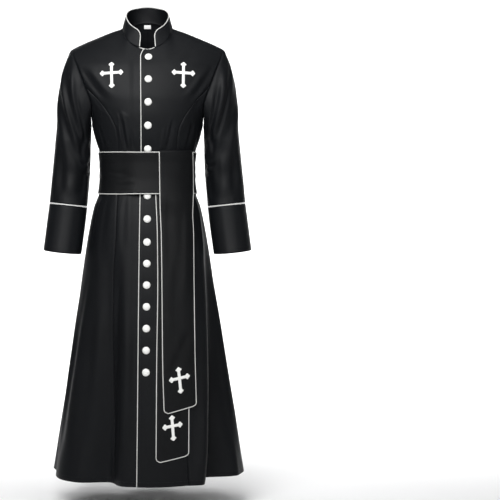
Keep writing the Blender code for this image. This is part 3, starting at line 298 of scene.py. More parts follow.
class CrossPlace(NamedTuple):
    """Where an appliqued cross lies, and its size and tilt."""

    name: str
    across: float
    height: float
    width: float
    tall: float
    tilt: float


CHEST_CROSSES = (
    CrossPlace("cross_chest_right", -0.1070, -0.1495, 0.070, 0.080, 0.05),
    CrossPlace("cross_chest_left", 0.1070, -0.1495, 0.070, 0.080, -0.05),
)
TAIL_CROSSES = (
    CrossPlace("cross_tail_upper", 0.0905, -1.0500, 0.061, 0.077, 0.21),
    CrossPlace("cross_tail_under", 0.0713, -1.1850, 0.059, 0.073, 0.16),
)
CROSS_UPPER_SHARE = 0.42
CROSS_LEAN = 0.45
CROSS_THICKNESS = 1.5 * MM

LABEL_HALF_WIDTH = 0.0105
LABEL_TOP = 0.0195
LABEL_BOTTOM = 0.0085


class Crease(NamedTuple):
    """A soft trough (negative depth) or ridge from one place on a cloth to another.

    The two ends are given across and down the cloth, in the field's own units; half
    width, depth and bend are in millimetres.
    """

    across_0: float
    down_0: float
    across_1: float
    down_1: float
    half_width: float
    depth: float
    bend: float = 0.0


# Body: across in degrees from the front, down as heights in metres
BODY_CREASES = rows_of(
    Crease,
    # shoulders and chest
    (-47, -0.120, -37, -0.245, 11, -2.4, 6), (-40, -0.130, -30, -0.225, 10, 1.5, 5),
    (-52, -0.185, -41, -0.270, 8, -1.8, 4), (46, -0.115, 38, -0.235, 12, -2.2, -6),
    (39, -0.140, 31, -0.230, 9, 1.4, -5), (52, -0.175, 43, -0.268, 9, -2.0, -4),
    (-30, -0.085, -18, -0.130, 13, -0.8, 3), (29, -0.085, 17, -0.130, 12, -0.8, -3),
    (-20, -0.270, -27, -0.300, 14, 1.6, 3),
    # tucks over the band
    (-27, -0.262, -25, -0.385, 5.5, -3.4, 1.5), (-23, -0.285, -21, -0.385, 5.5, 1.8, 1),
    (-31, -0.300, -29, -0.385, 4.5, 1.5, -1), (-17, -0.315, -17, -0.385, 5, -1.3, 1),
    (-58, -0.300, -55, -0.385, 7, -2.0, 2), (-72, -0.310, -74, -0.385, 6, 1.5, 0),
    (25, -0.285, 22, -0.385, 6, -2.2, -2), (17, -0.310, 16, -0.385, 6, 1.3, 0),
    (50, -0.290, 48, -0.385, 8, -1.8, -2), (64, -0.305, 66, -0.385, 6, 1.6, 1),
    # below the band
    (-24, -0.495, -21, -0.700, 9, -1.3, 3), (-47, -0.495, -42, -0.760, 12, -1.6, 5),
    (-61, -0.495, -57, -0.660, 10, 1.2, 2), (66, -0.495, 59, -0.720, 10, 1.5, -4),
    (80, -0.495, 77, -0.660, 9, -1.4, 0),
    # long troughs and ridges of the skirt
    (-24, -0.700, -21, -1.330, 13, -4.6, 7), (-17, -0.820, -15, -1.330, 12, 2.6, -4),
    (-38, -0.780, -34, -1.330, 16, 4.2, 9), (-46, -0.900, -43, -1.330, 12, -3.4, -5),
    (-55, -0.720, -54, -1.300, 15, 3.6, 6), (-66, -0.850, -62, -1.335, 14, -4.0, 3),
    (-79, -0.760, -76, -1.320, 15, 3.4, -6), (-9, -0.880, -8, -1.330, 11, -2.2, 3),
    (64, -0.690, 45, -1.330, 12, -4.2, -8), (72, -0.760, 58, -1.330, 13, 4.6, 6),
    (80, -0.880, 67, -1.330, 12, -4.0, -5), (88, -0.740, 77, -1.310, 14, 3.6, 4),
    (38, -1.120, 33, -1.345, 10, 2.6, 0),
    # the back
    (180, -0.060, 181, -0.240, 16, -1.6, 3), (148, -0.110, 138, -0.250, 12, -2.4, 6),
    (212, -0.105, 223, -0.245, 13, -2.2, -6), (160, -0.270, 163, -0.385, 8, 2.0, 2),
    (199, -0.262, 196, -0.385, 7, -2.4, -2), (141, -0.285, 146, -0.385, 8, -2.6, 3),
    (219, -0.290, 216, -0.385, 9, 2.2, -2), (118, -0.290, 116, -0.385, 8, 1.8, 0),
    (243, -0.295, 246, -0.385, 8, -1.9, 0), (170, -0.495, 168, -0.690, 8, -2.8, 4),
    (191, -0.495, 194, -0.650, 7, 2.2, -3), (215, -0.495, 218, -0.730, 9, -2.6, 5),
    (146, -0.495, 143, -0.670, 9, 2.4, -4), (122, -0.495, 118, -0.640, 8, -2.2, 3),
    (238, -0.495, 243, -0.660, 8, 2.0, 3), (101, -0.720, 98, -1.330, 14, -4.2, 6),
    (125, -0.780, 123, -1.320, 15, 4.4, -7), (149, -0.740, 148, -1.330, 14, -3.8, 5),
    (171, -0.820, 173, -1.330, 15, 4.0, 6), (192, -0.760, 194, -1.320, 14, -4.4, -6),
    (217, -0.800, 217, -1.330, 15, 4.2, 5), (238, -0.730, 239, -1.330, 14, -3.8, -7),
    (261, -0.810, 260, -1.320, 14, 3.8, 5),
)
BODY_DEGREE = 3.0 * MM

# Sleeves: across in degrees from the outside forwards, down as a share of the length
SLEEVE_CREASES = rows_of(
    Crease,
    (22, 0.03, 118, 0.44, 15, -4.0, 8), (48, 0.00, 132, 0.36, 14, 3.6, 6),
    (76, 0.05, 142, 0.34, 11, -3.4, 3), (0, 0.12, 106, 0.62, 18, -3.6, 10),
    (12, 0.08, 112, 0.54, 14, 3.2, 9), (-6, 0.30, 92, 0.78, 20, 2.8, 10),
    (150, 0.18, 122, 0.54, 8, -4.2, -4), (168, 0.30, 138, 0.62, 8, 3.0, -4),
    (176, 0.46, 118, 0.60, 6, -3.2, 3), (184, 0.55, 128, 0.68, 7, -2.6, 3),
    (140, 0.60, 132, 0.97, 13, -3.2, 4), (104, 0.58, 98, 0.98, 15, 2.4, -4),
    (62, 0.62, 66, 0.98, 14, -2.4, 5), (30, 0.50, 36, 0.96, 15, 2.4, 5),
    (-8, 0.56, -4, 0.95, 13, -2.6, -3), (-34, 0.03, -96, 0.44, 11, -5.4, -8),
    (-54, 0.04, -116, 0.38, 8, 3.8, -5), (-14, 0.14, -92, 0.62, 12, -4.4, -9),
    (-150, 0.24, -118, 0.58, 9, -3.6, 4), (-172, 0.42, -124, 0.56, 7, 2.8, 3),
    (-70, 0.58, -76, 0.97, 14, 2.6, 5), (-104, 0.62, -108, 0.98, 13, -2.8, -4),
    (-136, 0.64, -134, 0.98, 14, 2.2, 3),
)
SLEEVE_DEGREE = 1.05 * MM

# Band: across in degrees, down as heights; tails: both in metres
BAND_CREASES = rows_of(
    Crease,
    (-70, -0.400, -34, -0.412, 5, 0.9, 1), (-58, -0.440, -18, -0.452, 7, -0.9, 2),
    (-40, -0.480, -12, -0.474, 6, 0.8, -1), (62, -0.405, 100, -0.420, 6, -1.2, 1),
    (78, -0.455, 118, -0.440, 7, 1.2, 2), (-100, -0.420, -66, -0.462, 7, -1.3, 2),
    (-118, -0.470, -88, -0.486, 6, 1.1, 1), (130, -0.415, 172, -0.430, 7, -1.4, -2),
    (150, -0.466, 200, -0.458, 8, 1.3, 2), (196, -0.412, 238, -0.436, 7, -1.2, 2),
)
UPPER_TAIL_CREASES = rows_of(
    Crease,
    (0.058, -0.50, 0.066, -0.76, 10, -1.3, 2), (0.112, -0.52, 0.104, -0.86, 12, 1.6, -3),
    (0.086, -0.66, 0.078, -0.98, 13, -1.2, 3), (0.052, -0.86, 0.118, -1.02, 14, 1.6, 3),
    (0.126, -0.90, 0.064, -1.06, 13, -1.5, 3), (0.118, -0.40, 0.114, -0.50, 8, 1.0, 1),
)
UNDER_TAIL_CREASES = rows_of(
    Crease,
    (0.036, -0.54, 0.040, -0.90, 9, -1.0, 1), (0.050, -1.00, 0.048, -1.26, 11, 1.2, 2),
    (0.100, -1.10, 0.092, -1.27, 12, -1.3, 2),
)


# Interpolation and small vector tools


def smooth_curve(places: Sequence[float], values: Sequence[float]) -> Callable:
    """Return a smooth function through a table that never overshoots its rows.

    Args:
        places: The table's positions, in any order.
        values: The value at each position.

    Returns:
        A function of one position or an array of them, held at the end values outside.
    """
    order = np.argsort(places)
    xs, ys = np.asarray(places, float)[order], np.asarray(values, float)[order]
    steps = np.diff(xs)
    slopes = np.diff(ys) / steps
    tangents = np.zeros_like(ys)
    tangents[0], tangents[-1] = slopes[0], slopes[-1]
    for i in range(1, len(xs) - 1):
        before, after = slopes[i - 1], slopes[i]
        if before * after > 0:
            weight = steps[i - 1] + 2 * steps[i], 2 * steps[i - 1] + steps[i]
            tangents[i] = sum(weight) / (weight[1] / before + weight[0] / after)

    def value(x: Array) -> Array:
        x = np.clip(x, xs[0], xs[-1])
        i = np.clip(np.searchsorted(xs, x) - 1, 0, len(steps) - 1)
        t = (x - xs[i]) / steps[i]
        rise = (1 + 2 * t) * (1 - t) ** 2 * ys[i] + t**2 * (3 - 2 * t) * ys[i + 1]
        bend = t * (1 - t) ** 2 * tangents[i] - t**2 * (1 - t) * tangents[i + 1]
        return rise + bend * steps[i]

    return value


def column_curve(table: Sequence, place: str, column: str) -> Callable:
    """Return the smooth curve of one named column of a table."""
    return smooth_curve(*([getattr(row, key) for row in table] for key in (place, column)))


def fade(x: Array) -> Array:
    """Rise smoothly from 0 to 1 as x goes from 0 to 1."""
    x = np.clip(x, 0.0, 1.0)
    return x * x * (3 - 2 * x)


def bump_of(away: Array, middle: float, reach: float) -> Array:
    """Return a soft bump of height 1 round a middle."""
    return np.exp(-(((away - middle) / reach) ** 2))


def unit(vectors: Array) -> Array:
    """Scale vectors to length one."""
    vectors = np.asarray(vectors, float)
    return vectors / np.maximum(np.linalg.norm(vectors, axis=-1, keepdims=True), 1e-12)


def pair(angles: Array, heights: Array) -> Array:
    """Pair angles with heights."""
    angles, heights = np.broadcast_arrays(angles, heights)
    return np.stack([angles, heights], axis=-1)


def grid_normals(points: Array, closed: bool = False) -> Array:
    """Directions square to a grid of points whose rows run down and columns run round.

    Args:
        points: A grid of points, its rows running down.
        closed: Whether the rows close on themselves.

    Returns:
        A direction for each point.
    """
    down = np.gradient(points, axis=0)
    if closed:
        round_it = np.roll(points, -1, axis=1) - np.roll(points, 1, axis=1)
    else:
        round_it = np.gradient(points, axis=1)
    return unit(np.cross(down, round_it))


def facing(normals: Array, outward: Array) -> Array:
    """Turn a grid of directions so that they agree with the outward ones."""
    return normals if np.sum(normals * outward) > 0 else -normals


def run_length(points: Array, axis: int) -> Array:
    """Length along a grid's rows (axis 1) or columns (axis 0) up to each point."""
    steps = np.linalg.norm(np.diff(points, axis=axis), axis=-1)
    start = np.zeros_like(np.take(steps, [0], axis=axis))
    return np.concatenate([start, np.cumsum(steps, axis=axis)], axis=axis)


def ripple(along: Array, seed: int, pitch: float) -> Array:
    """Give an uneven wave of about this pitch along a length, between -1 and 1.

    Args:
        along: Lengths.
        seed: What the wave's phases are drawn from.
        pitch: The wave's middle length.

    Returns:
        The wave at each length.
    """
    random = np.random.default_rng(seed)
    total = np.zeros_like(along)
    for share in (0.62, 0.85, 1.0, 1.37, 1.9):
        phase = random.uniform(0, 2 * math.pi)
        total = total + np.sin(2 * math.pi * along / (pitch * share) + phase)
    return total / 3.2


def relaxed(points: Array, weight: Array, rounds: int = 70) -> Array:
    """Even out a grid of points by each one's neighbours, its borders held.

    Args:
        points: A grid of points, its rows running down.
        weight: Each point's share of the evening out.
        rounds: How often it is done.

    Returns:
        The new grid.
    """
    points = points.copy()
    share = weight[1:-1, 1:-1, None]
    for _ in range(rounds):
        near = points[:-2, 1:-1] + points[2:, 1:-1] + points[1:-1, :-2] + points[1:-1, 2:]
        points[1:-1, 1:-1] += share * (near / 4 - points[1:-1, 1:-1])
    return points


@dataclass
class CreaseField:
    """The summed height of a table of creases over a cloth.

    Attributes:
        creases: The creases to sum.
        across_scale: Metres to one unit across.
        down_scale: Metres to one unit down.
        turn: Units across after which the cloth closes on itself, or 0.
    """

    creases: Sequence[Crease]
    across_scale: float
    down_scale: float = 1.0
    turn: float = 0.0

    # A crease's share of its half width at its first end, and what it gains down to the last
    first_width: float = 0.75
    more_width: float = 0.5
    # How much steeper its one side is than its other
    steep: float = 1.25
    gentle: float = 0.85
    # The small opposite swells beside it: height, distance and reach, in half widths
    swell: tuple = (0.26, 1.9, 0.9)
    taper: float = 0.30

    def __call__(self, across: Array, down: Array) -> Array:
        """Return the offset in metres at each place.

        Args:
            across: Places across the cloth.
            down: Places down it.

        Returns:
            The offsets, summed.
        """
        total = np.zeros(np.broadcast(across, down).shape)
        for crease in self.creases:
            total = total + self._one(crease, across, down)
        return total

    def _one(self, crease: Crease, across: Array, down: Array) -> Array:
        """Return one crease's offset.

        Args:
            crease: The crease.
            across: Places across the cloth.
            down: Places down it.

        Returns:
            Its offset in metres at each place.
        """
        middle = (crease.across_0 + crease.across_1) / 2
        away = across - middle
        if self.turn:
            away = (away + self.turn / 2) % self.turn - self.turn / 2
        x0, x1 = ((end - middle) * self.across_scale for end in (crease.across_0, crease.across_1))
        y0, y1 = (end * self.down_scale for end in (crease.down_0, crease.down_1))
        x, y = away * self.across_scale - x0, down * self.down_scale - y0
        length = math.hypot(x1 - x0, y1 - y0)
        ux, uy = (x1 - x0) / length, (y1 - y0) / length
        t = (x * ux + y * uy) / length
        inside = np.clip(t, 0.0, 1.0)
        side = x * uy - y * ux - crease.bend * MM * 4 * inside * (1 - inside)
        q = side / (crease.half_width * MM * (self.first_width + self.more_width * inside))
        q = q * np.where(q > 0, self.steep, self.gentle)
        height, distance, reach = self.swell
        profile = bump_of(q, 0.0, 1.0) - height * bump_of(np.abs(q), distance, reach)
        taper = fade(t / self.taper) * fade((1 - t) / self.taper)
        return crease.depth * MM * taper * profile


# The body


@dataclass
class BodyForm:
    """The form that every panel of the robe is cut from."""

    # How far down a flute still grows, as a share of its length
    flute_reach: float = 1.05
    least_radius: float = 0.02
    # Steps round and up for the form's outward direction
    turn_step: float = 0.004
    rise_step: float = 0.0012
    # How far below the shoulders' top the creases are calmed
    calm_reach: float = 0.045
    # A button's dent: metres to a degree there, its reach, depth and furthest angle
    dent_degree: float = 2.1 * MM
    dent_reach: float = 15 * MM
    dent_depth: float = 0.9 * MM
    dent_end: float = 0.6
    # Steps towards a place under the flutes, and how much wider than the form they count
    flute_steps: int = 5
    flute_ease: float = 1.05

    def __post_init__(self) -> None:
        """Read the tables."""
        self.half_width, self.front_depth, self.back_depth = (
            column_curve(BODY, "height", key) for key in ("half_width", "front_depth", "back_depth")
        )
        self.ridge = column_curve(RIDGE, "across", "height")
        self.lap_edge = column_curve(LAP_EDGE, "height", "across")
        self.armhole_front = column_curve(ARMHOLE, "degrees", "front")
        self.armhole_back = column_curve(ARMHOLE, "degrees", "back")
        self.creases = CreaseField(BODY_CREASES, BODY_DEGREE, turn=360.0)
        angle, height = self.armhole(ARMHOLE_SPLIT, False)
        split = SeamRow(float(height), float(self.base(angle, height)[0]))
        self.princess = column_curve((*PRINCESS, split), "height", "across")

    def flutes(self, angle: Array, height: Array) -> Array:
        """Return how far the skirt's flutes move the form in or out.

        Args:
            angle: Angles from the front.
            height: Heights.

        Returns:
            The flutes' offset at each place.
        """
        degrees = np.degrees(angle) % 360.0
        offset = np.zeros(np.broadcast(angle, height).shape)
        for row in FLUTES:
            drop = (row.start - height) / (row.start - HEM_HEIGHT)
            drop = np.clip(drop, 0.0, self.flute_reach)
            centre = row.waist_angle + (row.hem_angle - row.waist_angle) * drop
            away = (degrees - centre + 180.0) % 360.0 - 180.0
            share = np.clip(np.abs(away) / row.half_angle, 0.0, 1.0)
            swing = np.cos(share * math.pi / 2) ** 2
            offset = offset + row.depth * drop**FLUTE_GROWTH * swing
        return offset

    def base(self, angle: Array, height: Array) -> Array:
        """Return the form's point at an angle from the front and a height.

        Args:
            angle: Angles from the front.
            height: Heights.

        Returns:
            A point for each place.
        """
        angle, height = np.broadcast_arrays(np.asarray(angle, float), np.asarray(height, float))
        sine, cosine = np.sin(angle), np.cos(angle)
        power = np.abs(sine) ** ROUNDNESS + np.abs(cosine) ** ROUNDNESS
        scale = power ** (-1 / ROUNDNESS)
        depth = np.where(cosine > 0, self.front_depth(height), self.back_depth(height))
        x, y = self.half_width(height) * scale * sine, -depth * scale * cosine
        across = np.abs(x)
        below = np.clip((self.ridge(across) - height) / RIDGE_ROUNDING, 0.0, 1.0)
        share = fade((across - RIDGE_START) / (NECK_HALF_WIDTH - RIDGE_START))
        y = y * (1 - share * (1 - np.sqrt(1 - (1 - below) ** 2)))
        radius = np.maximum(np.hypot(x, y), self.least_radius)
        out = 1 + self.flutes(angle, height) / radius
        return np.stack([x * out, y * out, height], axis=-1)

    def normal(self, angle: Array, height: Array) -> Array:
        """Return the form's outward direction.

        Args:
            angle: Angles from the front.
            height: Heights.

        Returns:
            A direction for each place.
        """
        turn, rise = self.turn_step, self.rise_step
        round_it = self.base(angle + turn, height) - self.base(angle - turn, height)
        up_it = self.base(angle, height + rise) - self.base(angle, height - rise)
        return unit(np.cross(round_it, up_it))

    def lifted(self, angle: Array, height: Array, lift: Array) -> Array:
        """Return the form's point moved out by lift."""
        lift = np.asarray(lift, float)[..., None]
        return self.base(angle, height) + self.normal(angle, height) * lift

    def creased(self, angle: Array, height: Array) -> Array:
        """Return the cloth's point: the form with its creases."""
        return self.lifted(angle, height, self.relief(angle, height))

    def relief(self, angle: Array, height: Array) -> Array:
        """Return the creases' offset, calmed at the shoulders and dented under the buttons.

        Args:
            angle: Angles from the front.
            height: Heights.

        Returns:
            The offset at each place.
        """
        offset = self.creases(np.degrees(angle), height)
        across = np.abs(self.base(angle, height)[..., 0])
        calm = fade((self.ridge(across) - height) / self.calm_reach)
        offset = offset * np.where(height > CHEST, calm, 1.0)
        along = np.degrees(angle) * self.dent_degree
        for button in button_heights():
            away = np.hypot(along - button_across(button), height - button)
            dent = self.dent_depth * bump_of(away, 0.0, self.dent_reach)
            offset = offset - dent * (np.abs(angle) < self.dent_end)
        return offset

    def angle_at(self, across: Array, height: Array, behind: bool = False) -> Array:
        """Return the angle at which the form is this far from the middle.

        Args:
            across: Distances from the middle.
            height: Heights.
            behind: Whether it is the back's.

        Returns:
            The angles, in radians.
        """
        share = np.clip(np.asarray(across, float) / self.half_width(height), -1.0, 1.0)
        other = (1 - np.abs(share) ** ROUNDNESS) ** (1 / ROUNDNESS)
        angle = np.arctan2(share, other)
        return np.pi - angle if behind else angle

    def angle_under_flutes(self, across: Array, height: Array) -> Array:
        """Return the same in front, with the flutes' own reach taken off in steps.

        Args:
            across: Distances from the middle.
            height: Heights.

        Returns:
            The angles, in radians.
        """
        angle = self.angle_at(across, height)
        for _ in range(self.flute_steps):
            error = self.base(angle, height)[..., 0] - across
            angle = angle - error / (self.half_width(height) * self.flute_ease)
        return angle

    def hem(self, angle: Array) -> Array:
        """Return the hem's height, a little lower in front."""
        return HEM_HEIGHT - HEM_FRONT_DIP * np.clip(np.cos(angle), 0.0, 1.0)

    def neck_height(self, turn: Array, behind: bool) -> Array:
        """Return the neckline's height at a turn from the front, or from the back.

        Args:
            turn: Turns round the neck, in radians.
            behind: Whether it is the back's.

        Returns:
            The heights.
        """
        if behind:
            return NECK_BACK_RISE * np.cos(turn) ** 2
        vee = NECK_VEE * fade(1 - np.abs(turn) / math.radians(COLLAR_END))
        return -NECK_FRONT_DROP * np.cos(turn) - vee

    def neck_angle(self, turn: Array, behind: bool) -> Array:
        """Return the neckline's angle round the form at a turn."""
        across = NECK_HALF_WIDTH * np.sin(turn)
        return self.angle_at(across, self.neck_height(turn, behind), behind)

    def neck_point(self, turn: float) -> Array:
        """Return the neckline's point at a signed turn from the front.

        Args:
            turn: The turn, in radians.

        Returns:
            The point.
        """
        side, from_front = math.copysign(1.0, turn), abs(turn)
        behind = from_front > math.pi / 2
        own = math.pi - from_front if behind else from_front
        return self.base(self.neck_angle(own, behind) * side, self.neck_height(own, behind))

    def armhole(self, degrees: Array, behind: bool) -> tuple[Array, Array]:
        """Return angle and height of the armhole's edge down its loop.

        Args:
            degrees: Angles down the loop, 0 at its top.
            behind: Whether it is the back's.

        Returns:
            The angles round the form and the heights.
        """
        middle, reach = (ARMHOLE_TOP + ARMHOLE_BOTTOM) / 2, (ARMHOLE_TOP - ARMHOLE_BOTTOM) / 2
        height = middle + reach * np.cos(np.radians(degrees))
        curve = self.armhole_back if behind else self.armhole_front
        angle = np.radians(curve(degrees))
        return (np.pi - angle if behind else angle), height


FORM = BodyForm()


def button_heights() -> list[float]:
    """Return the buttons' heights, from the neck down."""
    return [run.first - run.pitch * k for run in BUTTON_RUNS for k in range(run.count)]


def button_across(height: float) -> float:
    """Return a button's distance from the middle."""
    share = (height - BUTTON_RUNS[0].first) / (LAST_BUTTON - BUTTON_RUNS[0].first)
    return BUTTON_TOP_ACROSS + (BUTTON_BOTTOM_ACROSS - BUTTON_TOP_ACROSS) * share


# Finishes


def linear(hex_colour: str) -> tuple[float, float, float, float]:
    """Turn an sRGB hex colour into linear RGBA."""
    channels = [int(hex_colour[i : i + 2], 16) / 255 for i in (1, 3, 5)]
    made = [c / 12.92 if c <= 0.04045 else ((c + 0.055) / 1.055) ** 2.4 for c in channels]
    return (*made, 1.0)


def feed(node: bpy.types.Node, values: dict) -> None:
    """Set a node's inputs by name, each to a value or to the output that feeds it.

    Args:
        node: The node.
        values: A value or an output for each input's name.
    """
    for name, source in values.items():
        if isinstance(source, bpy.types.NodeSocket):
            node.id_data.links.new(source, node.inputs[name])
        else:
            node.inputs[name].default_value = source


def add_node(
    tree: bpy.types.NodeTree, kind: str, values: dict | None = None, **settings
) -> bpy.types.Node:
    """Add a node.

    Args:
        tree: The node tree.
        kind: The node's type name.
        values: What its inputs are set to, as in feed.
        **settings: Properties of the node.

    Returns:
        The new node.
    """
    node = tree.nodes.new(kind)
    for key, value in settings.items():
        setattr(node, key, value)
    feed(node, values or {})
    return node


class NewMaterial:
    """A material being made, with its shader and its coordinates."""

    def __init__(self, name: str, viewport: str) -> None:
        """Start the material.

        Args:
            name: The material's name.
            viewport: Its plain colour in the viewport.
        """
        self.made = bpy.data.materials.new(name)
        self.made.use_nodes = True
        self.made.diffuse_color = linear(viewport)
        self.shader = self.made.node_tree.nodes["Principled BSDF"]
        self.coords = self.add("ShaderNodeTexCoord")

    def add(self, kind: str, values: dict | None = None, **settings) -> bpy.types.NodeOutputs:
        """Add a node and return its outputs."""
        return add_node(self.made.node_tree, kind, values, **settings).outputs

    def noise(self, coords: str, scale: float, detail: float = 2.0) -> bpy.types.NodeSocket:
        """Return noise over the object's or the UV map's metres."""
        values = {"Vector": self.coords[coords], "Scale": scale, "Detail": detail}
        return self.add("ShaderNodeTexNoise", values)["Fac"]

    def bump(self, height: bpy.types.NodeSocket, strength: float) -> None:
        """Raise the surface by a height."""
        values = {"Height": height, "Strength": strength, "Distance": GRAIN_HEIGHT}
        feed(self.shader, {"Normal": self.add("ShaderNodeBump", values)["Normal"]})


@dataclass(frozen=True)
class ClothFinish:
    """A woven cloth: twill lines on its UV map, soft uneven sheen.

    Attributes:
        name: The material's name.
        dark: Colour of the yarns in shade.
        light: Colour of the yarns where the light catches them.
        roughness: Middle roughness.
        sheen: Weight of the fibres' sheen.
        pitch_mm: Distance between the weave's diagonal lines.
        bump: Strength of the weave.
    """

    name: str
    dark: str
    light: str
    roughness: float
    sheen: float
    pitch_mm: float
    bump: float = 0.25

    # Noise to the metre: uneven shade, and slubs in the yarn
    clouds: float = 5.0
    cloud_detail: float = 3.0
    slubs: float = 160.0
    # Radians to the metre in a wave texture's bands at scale 1, and how uneven they are
    wave_rate: float = 20.0
    wave_unevenness: float = 0.6
    sheen_roughness: float = 0.38
    sheen_tint: str = "#c3c9d6"
    specular: float = 0.14

    def material(self) -> bpy.types.Material:
        """Build the material.

        Returns:
            The new material.
        """
        new = NewMaterial(self.name, self.light)
        cloudy = new.noise("Object", self.clouds, self.cloud_detail)
        shades = {"Factor": cloudy, 6: linear(self.dark), 7: linear(self.light)}
        tint = new.add("ShaderNodeMix", shades, data_type="RGBA")
        # Twill: diagonal lines one pitch apart, in the UV map's metres
        turn = {"Vector": new.coords["UV"], "Rotation": (0.0, 0.0, TWILL_TURN)}
        values = {
            "Vector": new.add("ShaderNodeMapping", turn)["Vector"],
            "Scale": 2 * math.pi / (self.pitch_mm * MM) / self.wave_rate,
            "Distortion": self.wave_unevenness,
            "Detail": 1.0,
        }
        lines = new.add("ShaderNodeTexWave", values, wave_type="BANDS", bands_direction="X")
        slub = {0: lines["Fac"], 1: new.noise("UV", self.slubs)}
        new.bump(new.add("ShaderNodeMath", slub, operation="ADD")[0], self.bump)
        low, high = self.roughness - UNEVEN_SHINE, self.roughness + UNEVEN_SHINE
        rough = new.add("ShaderNodeMapRange", {"Value": cloudy, "To Min": low, "To Max": high})
        finish = {
            "Base Color": tint[2],
            "Roughness": rough["Result"],
            "Sheen Weight": self.sheen,
            "Sheen Roughness": self.sheen_roughness,
            "Sheen Tint": linear(self.sheen_tint),
            "Specular IOR Level": self.specular,
        }
        feed(new.shader, finish)
        return new.made


@dataclass(frozen=True)
class PlainFinish:
    """A smooth finish with a fine grain, such as a moulded button or a thread."""

    name: str
    colour: str
    roughness: float
    grain_mm: float = 0.6
    bump: float = 0.1
    coat: float = 0.0

    def material(self) -> bpy.types.Material:
        """Build the material.

        Returns:
            The new material.
        """
        new = NewMaterial(self.name, self.colour)
        new.bump(new.noise("Object", 1.0 / (self.grain_mm * MM)), self.bump)
        colour, rough = linear(self.colour), self.roughness
        feed(new.shader, {"Base Color": colour, "Roughness": rough, "Coat Weight": self.coat})
        return new.made


class Finish(Enum):
    """The robe's materials."""

    # Polyester suiting: dark twill with a soft, slightly blue sheen
    ROBE = ClothFinish("black_suiting_twill", "#0a0b0d", "#0e1013", 0.52, 0.012, 0.55)
    # Satin-backed sash cloth: a little smoother and brighter
    SASH = ClothFinish("black_sash_satin", "#0a0b0c", "#0f1012", 0.49, 0.012, 0.40)
    # Rayon piping: white cord covered with cloth on the bias
    PIPING = ClothFinish("white_piping_cloth", "#c4c4c1", "#d6d6d3", 0.50, 0.10, 0.70)
    # Satin stitch in white thread: close parallel lines
    EMBROIDERY = ClothFinish("white_satin_stitch", "#dcdcd9", "#eeeeec", 0.46, 0.20, 0.9, 0.7)
    # Moulded polyester button with a clear shine
    BUTTON = PlainFinish("white_polyester_button", "#e6e6e3", 0.22, 4.0, 0.02, 0.3)
    # Black sewing thread, a little lighter than the cloth
    THREAD = PlainFinish("black_thread", "#24262a", 0.45)
    # Woven label: white taffeta ribbon
    LABEL = ClothFinish("white_label_ribbon", "#f4f4f2", "#ffffff", 0.55, 0.10, 0.5)


# Materials already built, one for each finish
_made: dict[Finish, bpy.types.Material] = {}


def material_of(finish: Finish) -> bpy.types.Material:
    """Return a finish's material, built once."""
    if finish not in _made:
        _made[finish] = finish.value.material()
    return _made[finish]


# Meshes


def new_object(name: str, data: bpy.types.ID) -> bpy.types.Object:
    """Link a new object with this data into the scene."""
    made = bpy.data.objects.new(name, data)
    bpy.context.scene.collection.objects.link(made)
    return made


def link_mesh(
    name: str, vertices: Array, faces: Array, uvs: Array, finish: Finish
) -> bpy.types.Object:
    """Make one object from points, quads and a UV pair for each corner.

    Args:
        name: The object's name.
        vertices: Its points.
        faces: Its quads.
        uvs: UV pairs of the quads' corners.
        finish: Its finish.

    Returns:
        The new object.
    """
    mesh = bpy.data.meshes.new(name)
    mesh.from_pydata(vertices.tolist(), [], faces.tolist())
    layer = mesh.uv_layers.new(name="uv_metres")
    layer.data.foreach_set("uv", np.asarray(uvs, np.float32).ravel())
    mesh.shade_smooth()
    mesh.materials.append(material_of(finish))
    return new_object(name, mesh)


def quads_of(rows: int, columns: int, closed: bool) -> tuple[Array, Array]:
    """Return a grid's quads and, for each corner, its row and column (not wrapped).

    Args:
        rows: The number of rows.
        columns: The number of columns.
        closed: Whether the rows close on themselves.

    Returns:
        The quads, and the row and column of each corner.
    """
    i = np.arange(rows - 1)[:, None]
    j = np.arange(columns if closed else columns - 1)[None, :]
    i, j = np.broadcast_arrays(i, j)
    turns = ((i, j), (i, j + 1), (i + 1, j + 1), (i + 1, j))
    corners = np.stack([np.stack(turn, axis=-1) for turn in turns], axis=2).reshape(-1, 4, 2)
    return corners[..., 0] * columns + corners[..., 1] % columns, corners


def grid_uvs(points: Array, closed: bool) -> Array:
    """Return lengths along a cloth's rows and its columns, in metres.

    Args:
        points: A grid of points, its rows running down.
        closed: Whether the rows close on themselves.

    Returns:
        A UV pair for each point.
    """
    if closed:
        points = np.concatenate([points, points[:, :1]], axis=1)
    across, down = run_length(points, 1), run_length(points, 0)
    middle = points.shape[1] // 2
    across = across - across[:, middle : middle + 1]
    down = np.broadcast_to(down[:, middle : middle + 1], across.shape)
    return np.stack([across, -down], axis=-1)


